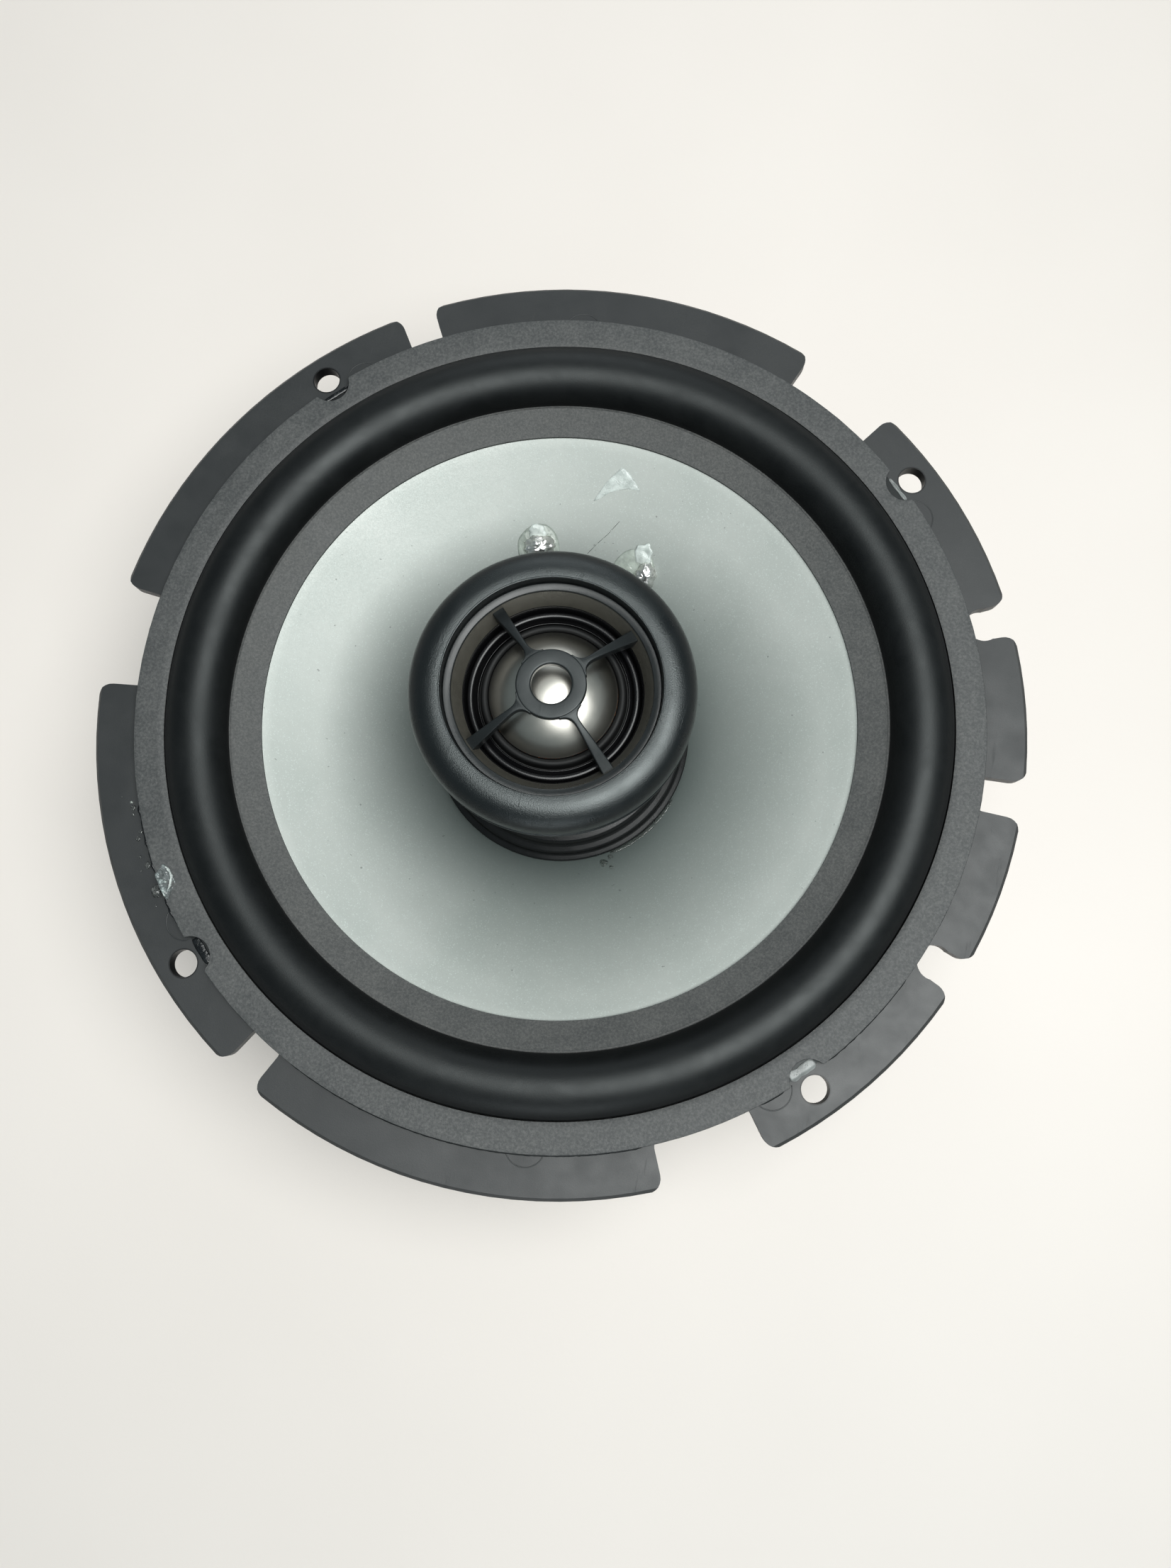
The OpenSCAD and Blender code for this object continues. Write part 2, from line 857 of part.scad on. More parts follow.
module tweeter_coil() {
    color([0.72, 0.35, 0.15])
        union() {
            ring(tweeter_former_r - 0.25, tweeter_former_r, 12.4, dome_edge_z - 0.35);
            ring(tweeter_former_r - 0.05, tweeter_former_r + 0.6, 12.4, 15.4);
        }
}

module tweeter_lead_positive() {
    color([0.62, 0.10, 0.08])
        tube(concat(positive_end, [for (p = tweeter_route) p + [lead_apart, 0, 0]]), lead_d);
}

module tweeter_lead_negative() {
    color([0.10, 0.10, 0.10])
        tube(concat(negative_end, [for (p = tweeter_route) p - [lead_apart, 0, 0]]), lead_d);
}

// Insulating panel that the two blades are riveted to
module terminal_panel() {
    color([0.45, 0.28, 0.14])
        difference() {
            translate([-panel_w / 2, panel_y + 0.02, panel_low_z])
                cube([panel_w, panel_t, panel_top_z - panel_low_z]);
            for (s = [-1, 1])
                translate([s * blade_x, panel_y - 1, blade_z])
                    rotate([-90, 0, 0])
                        cylinder(r = 1.05, h = panel_t + 2);
            translate([0, panel_y - 1, rivet_z])
                rotate([-90, 0, 0])
                    cylinder(r = 1.25, h = panel_t + 2);
        }
}

// A blade riveted through the panel: tag inside, blade outside
module blade(side, width) {
    out_y = panel_y + panel_t + 0.04;
    translate([side * blade_x, 0, blade_z])
        difference() {
            union() {
                translate([0, panel_y - 0.9, 0])
                    rotate([-90, 0, 0])
                        cylinder(r = 1, h = panel_t + 1.8);
                translate([-2.2, panel_y - 0.82, -2])
                    cube([4.4, blade_t, 5]);
                translate([-width / 2, out_y, -2.2])
                    cube([width, blade_t, 4.4]);
                translate([-width / 2, out_y, -2.2])
                    cube([width, blade_out, blade_t]);
            }
            translate([0, out_y + 6, -3])
                cylinder(r = 0.8, h = 3);
        }
}

module terminal_positive() {
    color([0.82, 0.83, 0.80])
        blade(-1, 6.3);
}

module terminal_negative() {
    color([0.82, 0.83, 0.80])
        blade(1, 4.8);
}

module panel_rivet() {
    color([0.75, 0.76, 0.76])
        translate([0, 0, rivet_z])
            rotate([-90, 0, 0]) {
                rod(1.2, panel_y - 3, panel_y + panel_t + 0.5);
                rod(2.4, panel_y + panel_t + 0.04, panel_y + panel_t + 0.9);
            }
}

// Electrolytic capacitor that keeps low notes out of the tweeter
module capacitor() {
    color([0.10, 0.12, 0.20])
        union() {
            translate([0, cap_y, cap_z])
                rotate([0, 90, 0])
                    difference() {
                        rod(cap_r, -cap_len / 2, cap_len / 2);
                        rotate_extrude()
                            translate([cap_r + 0.3, cap_len / 2 - 2.4])
                                circle(r = 0.9);
                    }
            tube(capacitor_wire_left, wire_d);
            tube(capacitor_wire_right, wire_d);
        }
}

// Bead of hot glue between the capacitor and the panel
module capacitor_glue() {
    color([0.85, 0.80, 0.62])
        difference() {
            translate([-7, cap_y + 2.6, cap_z - 3.4])
                cube([14, panel_y - cap_y - 2.6, 6.8]);
            translate([-12, cap_y, cap_z])
                rotate([0, 90, 0])
                    cylinder(r = cap_r + 0.02, h = 24);
        }
}

basket();
gasket();
surround();
cone();
dust_ring();
voice_coil_former();
voice_coil_winding();
coil_end_wires();
solder_joints();
spider();
tinsel_lead_left();
tinsel_lead_right();
top_plate();
ferrite_magnet();
pole_yoke();
magnet_boot();
basket_screws();
tweeter_post();
post_bolt();
post_nut();
tweeter_housing();
tweeter_rim();
tweeter_grille();
tweeter_face_ring();
tweeter_pot();
tweeter_magnet();
tweeter_pole_disc();
tweeter_dome();
tweeter_surround();
tweeter_coil();
tweeter_lead_positive();
tweeter_lead_negative();
terminal_panel();
terminal_positive();
terminal_negative();
panel_rivet();
capacitor();
capacitor_glue();
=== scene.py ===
"""Looks of the coaxial car speaker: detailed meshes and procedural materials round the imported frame.

Lengths are in millimetres until a mesh is made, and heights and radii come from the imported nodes.
"""

import bpy
import bmesh
import json
import math
from mathutils import Matrix, Vector, noise


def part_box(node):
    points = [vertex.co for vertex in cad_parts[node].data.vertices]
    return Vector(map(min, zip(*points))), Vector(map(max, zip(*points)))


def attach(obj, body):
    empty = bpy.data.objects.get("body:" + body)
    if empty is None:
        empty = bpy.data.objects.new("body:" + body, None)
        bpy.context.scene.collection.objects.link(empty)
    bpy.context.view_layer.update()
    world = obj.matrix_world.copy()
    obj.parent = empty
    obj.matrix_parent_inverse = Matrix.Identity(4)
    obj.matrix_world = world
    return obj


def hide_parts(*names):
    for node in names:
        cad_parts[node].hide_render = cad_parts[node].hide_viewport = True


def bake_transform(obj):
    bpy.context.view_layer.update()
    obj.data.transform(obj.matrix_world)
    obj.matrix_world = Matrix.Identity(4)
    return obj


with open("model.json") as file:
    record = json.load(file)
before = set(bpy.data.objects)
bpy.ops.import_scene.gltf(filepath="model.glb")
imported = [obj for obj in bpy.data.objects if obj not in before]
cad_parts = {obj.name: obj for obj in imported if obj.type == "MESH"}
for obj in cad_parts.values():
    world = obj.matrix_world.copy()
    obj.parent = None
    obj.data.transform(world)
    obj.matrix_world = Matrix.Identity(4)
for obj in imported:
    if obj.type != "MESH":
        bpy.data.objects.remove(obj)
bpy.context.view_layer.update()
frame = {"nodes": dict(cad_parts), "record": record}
MM = 0.001


def top(node):
    """Highest point of a CAD node."""
    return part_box(node)[1].z / MM


def low(node):
    """Lowest point of a CAD node."""
    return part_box(node)[0].z / MM


def wide(node):
    """Outer radius of a turned CAD node."""
    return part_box(node)[1].x / MM


# ---- sizes
MOUNTS = {m["name"]: m for m in frame["record"]["mounts"]}
SLOT_OF = {p["node"]: p["material_slot"] for p in frame["record"]["subparts"]}
FIXED, MOVING, DOME_BODY = "frame", "moving_cone", "tweeter_diaphragm"

BOLT_R = MOUNTS["panel_bolts"]["dims"]["pcd_mm"] / 2
BOLT_ANGLES = (45, 135, 225, 315)
FLANGE_TOP = top("basket")
BENCH_Z = low("magnet_boot")
GASKET_LOW = low("gasket")
GASKET_TOP = top("gasket")
GASKET_OUT_R = wide("gasket")
NOTCH_AT_R = 76.1  # centre of the gasket's notches
NOTCH_R = 3.5
HOLE_SHADE_REACH = (2.52, 2.70)  # distances from a screw hole's axis over which the painted shade on its wall and edge fades out
LIP_R = wide("surround")
ROLL_OUT_R = 69.8
ROLL_IN_R = wide("cone")
ROLL_TOP = top("surround")
CONE_FACE_R = 53.4
CONE_EDGE_Z = top("cone")
CONE_FACE_Z = CONE_EDGE_Z - 1.95
NECK_R = 13.0
NECK_Z = low("cone") + 2
CONE_T = 0.9  # wall of the cone
CONE_SLOPE = (CONE_FACE_Z - NECK_Z) / (CONE_FACE_R - NECK_R)
DUST_R = wide("dust_ring")
JOINTS = ((36.6, 107.7), (34.7, 74.6))  # radius and angle of each lead joint
RIM_R = wide("tweeter_rim")
RIM_TOP = top("tweeter_rim")
RIM_LOW = low("tweeter_rim")
INSERT_R = wide("tweeter_grille")
INSERT_LOW = low("tweeter_grille")
INSERT_TOP = 22.4
BORE_R = 16.5  # mouth of the insert
WALL_FOOT_R = 15.0  # foot of the insert's sloping wall
HOUSING_TOP = top("tweeter_housing")
HUB_TOP = top("tweeter_grille")
HUB_R = 5.7
HUB_HOLE_R = 3.25
FACE_Z = low("tweeter_face_ring")
FACE_TOP = top("tweeter_face_ring")
DOME_R = wide("tweeter_dome")
DOME_EDGE_Z = low("tweeter_dome") + 0.3
DOME_TOP = top("tweeter_dome")


def cone_z(r):
    """Height of the cone's front face at radius r."""
    return NECK_Z + (r - NECK_R) * CONE_SLOPE


def wave(x, y, z):
    """Smooth noise at a point, about -1 to 1."""
    return noise.noise(Vector((x, y, z)))


def ease(t):
    """0 to 1 with a soft start and end."""
    t = min(max(t, 0.0), 1.0)
    return t * t * (3 - 2 * t)


# ---- camera, floor and light
def aim(elevation, azimuth, roll):
    """Right, up and back directions of a view, angles in degrees."""
    e, a, r = (math.radians(v) for v in (elevation, azimuth, roll))
    back = Vector((math.sin(a) * math.cos(e), -math.cos(a) * math.cos(e), math.sin(e)))
    right = Vector((0, 0, 1)).cross(back).normalized()
    up = back.cross(right)
    return right * math.cos(r) + up * math.sin(r), up * math.cos(r) - right * math.sin(r), back


VIEW_RIGHT, VIEW_UP, VIEW_BACK = aim(80.46, 18.73, -7.85)


def make_camera():
    """The photo's view: a lens of 27 mm on a 36 mm long side."""
    data = bpy.data.cameras.new("camera")
    data.lens = 27
    data.sensor_width = 36
    data.clip_start = 0.005
    camera = bpy.data.objects.new("camera", data)
    bpy.context.scene.collection.objects.link(camera)
    camera.matrix_world = Matrix.Translation(Vector((18.27, -43.75, 206.8)) * MM) @ Matrix(
        (VIEW_RIGHT, VIEW_UP, VIEW_BACK)).transposed().to_4x4()
    bpy.context.scene.camera = camera


def soft_box(name, right, up, height, size, power, color):
    """An area light placed along the photo's right and up directions, facing the speaker."""
    data = bpy.data.lights.new(name, "AREA")
    data.shape = "DISK"
    data.size = size
    data.energy = power
    data.color = color
    lamp = bpy.data.objects.new(name, data)
    bpy.context.scene.collection.objects.link(lamp)
    flat_right = Vector((VIEW_RIGHT.x, VIEW_RIGHT.y, 0)).normalized()
    flat_up = Vector((VIEW_UP.x, VIEW_UP.y, 0)).normalized()
    lamp.location = flat_right * right + flat_up * up + Vector((0, 0, height))
    lamp.rotation_euler = lamp.location.to_track_quat("Z", "Y").to_euler()


def make_lights():
    """A wide ceiling light, a window behind, a low lamp in front, and a dim grey room."""
    soft_box("ceiling", 0.19, -0.09, 0.80, 0.72, 7.8, (0.985, 1.0, 0.985))
    soft_box("window", 0.0, 0.80, 0.45, 0.55, 1.1, (0.96, 0.985, 1.0))
    soft_box("front", -0.02, -0.62, 0.16, 0.22, 0.4, (0.95, 0.98, 1.0))
    world = bpy.data.worlds.new("room")
    world.use_nodes = True
    world.node_tree.nodes["Background"].inputs["Color"].default_value = (0.80, 0.95, 1.0, 1)
    world.node_tree.nodes["Background"].inputs["Strength"].default_value = 0.20
    bpy.context.scene.world = world
    bpy.context.scene.view_settings.view_transform = "Standard"
    bpy.context.scene.view_settings.look = "Medium High Contrast"


# ---- material helper
class Finish:
    """A procedural material. Sizes are millimetres on the object."""

    def __init__(self, name, color, roughness, **sockets):
        self.material = bpy.data.materials.new(name)
        self.material.use_nodes = True
        self.tree = self.material.node_tree
        self.shader = self.tree.nodes["Principled BSDF"]
        self.put(self.shader, "Base Color", color)
        self.put(self.shader, "Roughness", roughness)
        for socket, value in sockets.items():
            self.put(self.shader, socket.replace("_", " "), value)
        self.place = self.tree.nodes.new("ShaderNodeTexCoord").outputs["Object"]

    def put(self, node, socket, value):
        """Links a socket, or sets its value."""
        target = node.inputs[socket]
        if isinstance(value, bpy.types.NodeSocket):
            self.tree.links.new(value, target)
        elif isinstance(value, (tuple, list)) and len(value) == 3 and len(target.default_value) == 4:
            target.default_value = (*value, 1)
        else:
            target.default_value = value

    def node(self, kind, inputs, output=0, **settings):
        made = self.tree.nodes.new(kind)
        for key, value in settings.items():
            setattr(made, key, value)
        for socket, value in inputs.items():
            self.put(made, socket, value)
        return made.outputs[output]

    def math(self, operation, a, b=0.0):
        return self.node("ShaderNodeMath", {0: a, 1: b}, operation=operation)

    def radius(self):
        """Distance from the Z axis."""
        flat = self.node("ShaderNodeVectorMath", {0: self.place, 1: (1000, 1000, 0)}, operation="MULTIPLY")
        return self.node("ShaderNodeVectorMath", {0: flat}, "Value", operation="LENGTH")

    def along(self, axis):
        """Distance along X, Y or Z."""
        return self.math("MULTIPLY", self.node("ShaderNodeSeparateXYZ", {0: self.place}, axis), 1000)

    def noise(self, size, detail=2, rough=0.5, stretch=None, warp=0.0, place=None):
        place = place or self.place
        if stretch:
            place = self.node("ShaderNodeVectorMath", {0: place, 1: stretch}, operation="MULTIPLY")
        return self.node("ShaderNodeTexNoise", {"Vector": place, "Scale": 1000 / size, "Detail": detail,
                                                "Roughness": rough, "Distortion": warp}, "Fac")

    def cells(self, size, output="Distance"):
        return self.node("ShaderNodeTexVoronoi", {"Vector": self.place, "Scale": 1000 / size}, output)

    def turned(self, size):
        """Noise that only changes with the radius and the height, as tool marks do."""
        place = self.node("ShaderNodeCombineXYZ", {0: self.radius(), 2: self.along("Z")})
        return self.node("ShaderNodeTexNoise", {"Vector": place, "Scale": 1 / size, "Detail": 3}, "Fac")

    def level(self, value, low, high, to_low=0.0, to_high=1.0):
        return self.node("ShaderNodeMapRange", {"Value": value, "From Min": low, "From Max": high,
                                                "To Min": to_low, "To Max": to_high})

    def mix(self, factor, a, b):
        made = self.tree.nodes.new("ShaderNodeMix")
        made.data_type = "RGBA"
        self.put(made, 0, factor)
        self.put(made, 6, a)
        self.put(made, 7, b)
        return made.outputs[2]

    def color(self, value):
        self.put(self.shader, "Base Color", value)
        return self

    def rough(self, value):
        self.put(self.shader, "Roughness", value)
        return self

    def bump(self, height, depth):
        """Adds relief: depth is the height of the relief in millimetres."""
        inputs = {"Height": height, "Distance": depth * MM, "Strength": 1.0}
        last = self.shader.inputs["Normal"].links
        if last:
            inputs["Normal"] = last[0].from_socket
        self.put(self.shader, "Normal", self.node("ShaderNodeBump", inputs))
        return self


def moulded(name, color, dust, roughness, grain=0.22, depth=0.012):
    """Moulded plastic: fine spark-eroded grain, faint flow shades, rubbed spots and a little dust."""
    f = Finish(name, color, roughness)
    shade = f.noise(14, detail=4, rough=0.6, warp=0.6)
    fine = f.noise(grain, detail=3, rough=0.7)
    dusty = f.math("MULTIPLY", f.level(shade, 0.42, 0.72), f.level(fine, 0.35, 0.75))
    f.color(f.mix(f.math("MULTIPLY", dusty, 0.55), color, dust))
    scuff = f.level(f.noise(1.6, detail=5, rough=0.7, stretch=(1, 0.16, 1)), 0.62, 0.72)
    rough = f.level(f.noise(5, detail=3), 0.3, 0.7, roughness - 0.05, roughness + 0.07)
    f.rough(f.math("ADD", rough, f.math("MULTIPLY", scuff, 0.10)))
    f.bump(fine, depth).bump(scuff, depth * 0.5)
    return f


def rubber(name, color, bloom, roughness, grain=0.16, depth=0.014, speckle=0.35):
    """Rubber or foam: fine pores, paler specks and a bloom in patches."""
    f = Finish(name, color, roughness)
    patch = f.noise(7, detail=5, rough=0.62, warp=0.8)
    pores = f.noise(grain, detail=3, rough=0.65)
    specks = f.noise(grain * 1.6, detail=4, rough=0.8)
    spread = f.math("MULTIPLY", f.level(patch, 0.40, 0.75), f.level(pores, 0.30, 0.70, 0.35, 1.0))
    pale = f.level(specks, 0.42, 0.66)
    spread = f.math("ADD", f.math("MULTIPLY", spread, 1 - speckle), f.math("MULTIPLY", pale, speckle))
    f.color(f.mix(spread, color, bloom))
    f.rough(f.level(patch, 0.3, 0.7, roughness - 0.05, roughness + 0.06))
    f.bump(pores, depth)
    return f


def metal(name, color, stain, roughness, grain=0.25, depth=0.006):
    """Plated or cast metal: fine pits, cloudy stain and uneven gloss."""
    f = Finish(name, color, roughness, Metallic=1.0)
    cloud = f.noise(6, detail=5, rough=0.6, warp=0.5)
    pits = f.noise(grain, detail=4, rough=0.7)
    f.color(f.mix(f.level(cloud, 0.42, 0.75, 0.0, 0.8), color, stain))
    f.rough(f.level(f.noise(2.2, detail=4), 0.3, 0.75, roughness - 0.07, roughness + 0.12))
    f.bump(pits, depth)
    return f


def clear_glue(name, color, milk, roughness=0.12):
    """Dried adhesive, cloudy in places, with tiny bubbles. milk is the share that lets no light through."""
    f = Finish(name, color, roughness, IOR=1.46)
    ripple = f.noise(1.1, detail=3, rough=0.6, warp=0.7)
    bubble = f.level(f.cells(0.45), 0.08, 0.22)
    clear = f.level(f.noise(2.0, detail=3), 0.3, 0.7, 1.0 - milk * 0.7, 1.0 - milk * 1.3)
    f.put(f.shader, "Transmission Weight", clear)
    f.bump(ripple, 0.10).bump(bubble, 0.03)
    return f


# ---- materials, one for each slot of the record
def cone_silver():
    """Silver paint on a polypropylene cone: fine flakes, soft grey-green tone, faint orange peel, and painted
    shade round the tweeter, stronger towards +X and -Y.
    """
    f = Finish("cone_silver", (0.56, 0.60, 0.575), 0.46, Metallic=0.12)
    flake = f.cells(0.16, "Color")
    glitter = f.node("ShaderNodeSeparateXYZ", {0: flake}, "X")
    cloud = f.noise(18, detail=4, rough=0.55, warp=0.3)
    tone = f.mix(f.level(cloud, 0.3, 0.7), (0.40, 0.428, 0.405), (0.45, 0.472, 0.449))
    bright = f.mix(f.level(glitter, 0.88, 1.0), tone, (0.50, 0.54, 0.515))
    dark = f.mix(f.level(f.noise(0.20, detail=2), 0.62, 0.80, 0.0, 0.35), bright, (0.34, 0.38, 0.36))
    speck = f.level(f.noise(0.9, detail=1), 0.77, 0.80, 0.0, 0.7)
    speckled = f.mix(speck, dark, (0.20, 0.21, 0.20))
    # painted shade: the cone is darkened near the tweeter and fades out by 46 mm; the darkening is shifted so
    # that it is stronger towards +X and -Y
    shade_offset = f.math("ADD", f.math("MULTIPLY", f.along("X"), -0.047), f.math("MULTIPLY", f.along("Y"), 0.057))
    thin = f.level(f.math("ADD", f.radius(), shade_offset), 21, 46, 0.95, 0.0)
    f.color(f.mix(thin, speckled, (0.085, 0.106, 0.102)))
    f.rough(f.level(glitter, 0.0, 1.0, 0.40, 0.56))
    f.bump(f.noise(0.22, detail=3, rough=0.6), 0.010).bump(f.noise(1.4, detail=2), 0.018)
    return f


def spider_cloth():
    """Resin-stiffened cotton: an over-and-under weave that lets light through."""
    f = Finish("spider_cloth", (0.50, 0.36, 0.14), 0.72, Sheen_Weight=0.3, Subsurface_Weight=0.1)
    wobble = f.noise(3, detail=2)
    pitch = 0.55
    threads = []
    for axis in "XY":
        bent = f.math("ADD", f.along(axis), f.math("MULTIPLY", wobble, 0.5))
        threads.append(f.math("ABSOLUTE", f.math("SINE", f.math("MULTIPLY", bent, math.pi / pitch))))
    weave = f.math("MAXIMUM", threads[0], threads[1])
    hole = f.level(weave, 0.35, 0.75)
    tone = f.mix(f.noise(0.35, detail=3), (0.40, 0.27, 0.09), (0.62, 0.47, 0.20))
    f.color(f.mix(hole, (0.13, 0.08, 0.03), tone))
    f.rough(f.level(weave, 0.3, 1.0, 0.85, 0.62))
    f.bump(f.math("ADD", threads[0], threads[1]), 0.07)
    return f


def ferrite():
    """Sintered ferrite: near-black ceramic with ground faces and small chips."""
    f = Finish("ferrite", (0.045, 0.045, 0.048), 0.55)
    chip = f.level(f.cells(2.6), 0.08, 0.16)
    grain = f.noise(0.18, detail=4, rough=0.7)
    f.color(f.mix(f.level(grain, 0.35, 0.75), (0.030, 0.030, 0.033), (0.085, 0.085, 0.088)))
    f.rough(f.level(grain, 0.3, 0.7, 0.42, 0.66))
    f.bump(chip, 0.05).bump(grain, 0.012)
    return f


def turned_steel():
    """Zinc-plated turned steel with tool rings."""
    f = metal("plated_steel", (0.56, 0.56, 0.54), (0.46, 0.43, 0.36), 0.34)
    f.bump(f.turned(0.28), 0.012)
    return f


def panel_board():
    """Brown laminated paper board with fibres and pressed layers."""
    f = Finish("panel_board", (0.20, 0.09, 0.03), 0.42, Coat_Weight=0.25, Coat_Roughness=0.25)
    fibre = f.noise(0.8, detail=5, rough=0.7, stretch=(1, 1, 4))
    layer = f.noise(0.25, detail=2, stretch=(0.02, 1, 0.02))
    tone = f.mix(f.level(fibre, 0.3, 0.7), (0.15, 0.062, 0.020), (0.27, 0.125, 0.045))
    f.color(f.mix(f.level(layer, 0.55, 0.65, 0.0, 0.5), tone, (0.10, 0.04, 0.015)))
    f.rough(f.level(fibre, 0.3, 0.7, 0.34, 0.52))
    f.bump(fibre, 0.02)
    return f


def dome_metal():
    """Metal film dome: warm grey mirror blurred by a fine orange peel, with painted shade darkening it
    towards its edge.
    """
    f = Finish("dome_metal", (0.62, 0.60, 0.56), 0.34, Metallic=1.0)
    # painted shade: the dome's colour darkens from 8.6 mm out to its edge, where it meets the black rings
    edge = f.level(f.radius(), 8.6, 10.4, 0.0, 0.55)
    haze = f.noise(4, detail=4, rough=0.6)
    f.color(f.mix(edge, f.mix(haze, (0.60, 0.585, 0.54), (0.52, 0.505, 0.465)), (0.12, 0.12, 0.115)))
    f.rough(f.level(haze, 0.3, 0.7, 0.28, 0.35))
    f.bump(f.noise(0.3, detail=3, rough=0.6), 0.003)
    return f


def dusty_insert():
    """Satin black insert ring, with brown-grey dust on the wall inside the bore."""
    f = moulded("insert_black", (0.022, 0.025, 0.026), (0.045, 0.048, 0.048), 0.30, grain=0.14, depth=0.012)
    clean = f.shader.inputs["Base Color"].links[0].from_socket
    inside = f.level(f.along("Z"), INSERT_TOP - 0.45, INSERT_TOP - 0.60)
    dust = f.mix(f.noise(1.2, detail=4), (0.078, 0.074, 0.062), (0.112, 0.106, 0.090))
    f.color(f.mix(f.math("MULTIPLY", inside, 0.85), clean, dust))
    return f


def capacitor_sleeve():
    """Shrink sleeve on the capacitor, with bare tinned wire past its ends."""
    f = Finish("capacitor_sleeve", (0.012, 0.016, 0.045), 0.30, Coat_Weight=0.2)
    wire = f.level(f.math("ABSOLUTE", f.along("X")), 11.02, 11.06)
    mottle = f.noise(2.5, detail=3)
    sleeve = f.mix(mottle, (0.010, 0.013, 0.038), (0.018, 0.024, 0.062))
    f.color(f.mix(wire, sleeve, (0.62, 0.62, 0.60)))
    f.put(f.shader, "Metallic", wire)
    f.rough(f.level(mottle, 0.3, 0.7, 0.24, 0.38))
    f.bump(f.noise(1.2, detail=3), 0.05)
    return f


def former_film():
    """Amber film of the voice coil's former, slightly hazy."""
    f = Finish("former_film", (0.42, 0.20, 0.035), 0.22, Transmission_Weight=0.35, IOR=1.6)
    haze = f.noise(2.2, detail=3)
    f.color(f.mix(haze, (0.46, 0.22, 0.04), (0.34, 0.15, 0.025)))
    f.rough(f.level(haze, 0.3, 0.7, 0.18, 0.30))
    f.bump(f.noise(0.5, detail=2), 0.006)
    return f


def pvc(name, color, deep):
    """Lead insulation: smooth, slightly waxy."""
    f = Finish(name, color, 0.38, Coat_Weight=0.1)
    f.color(f.mix(f.noise(2.5, detail=3), color, deep))
    f.rough(f.level(f.noise(1.2, detail=3), 0.3, 0.7, 0.32, 0.46))
    f.bump(f.noise(0.5, detail=2), 0.01)
    return f


def basket_plastic():
    """Moulded basket, with painted shade on the walls and edges of its four screw holes."""
    f = moulded("basket_plastic", (0.034, 0.036, 0.037), (0.062, 0.064, 0.063), 0.43)
    hole_at = BOLT_R * math.sqrt(0.5)
    off = [f.math("SUBTRACT", f.math("ABSOLUTE", f.along(axis)), hole_at) for axis in "XY"]
    reach = f.math("SQRT", f.math("ADD", *(f.math("MULTIPLY", d, d) for d in off)))
    clean = f.shader.inputs["Base Color"].links[0].from_socket
    # painted shade: near-black on each screw hole's wall and edge, fading out between the two distances set
    # near the top
    f.color(f.mix(f.level(reach, *HOLE_SHADE_REACH), (0.004, 0.0045, 0.005), clean))
    return f


def rim_black():
    """Grained satin black of the tweeter's rim, with a cool sheen."""
    f = moulded("rim_black", (0.005, 0.006, 0.0068), (0.013, 0.0148, 0.0158), 0.31, 0.20, 0.045)
    f.put(f.shader, "Specular IOR Level", 0.90)
    f.put(f.shader, "Specular Tint", (0.93, 1.0, 1.0))
    return f


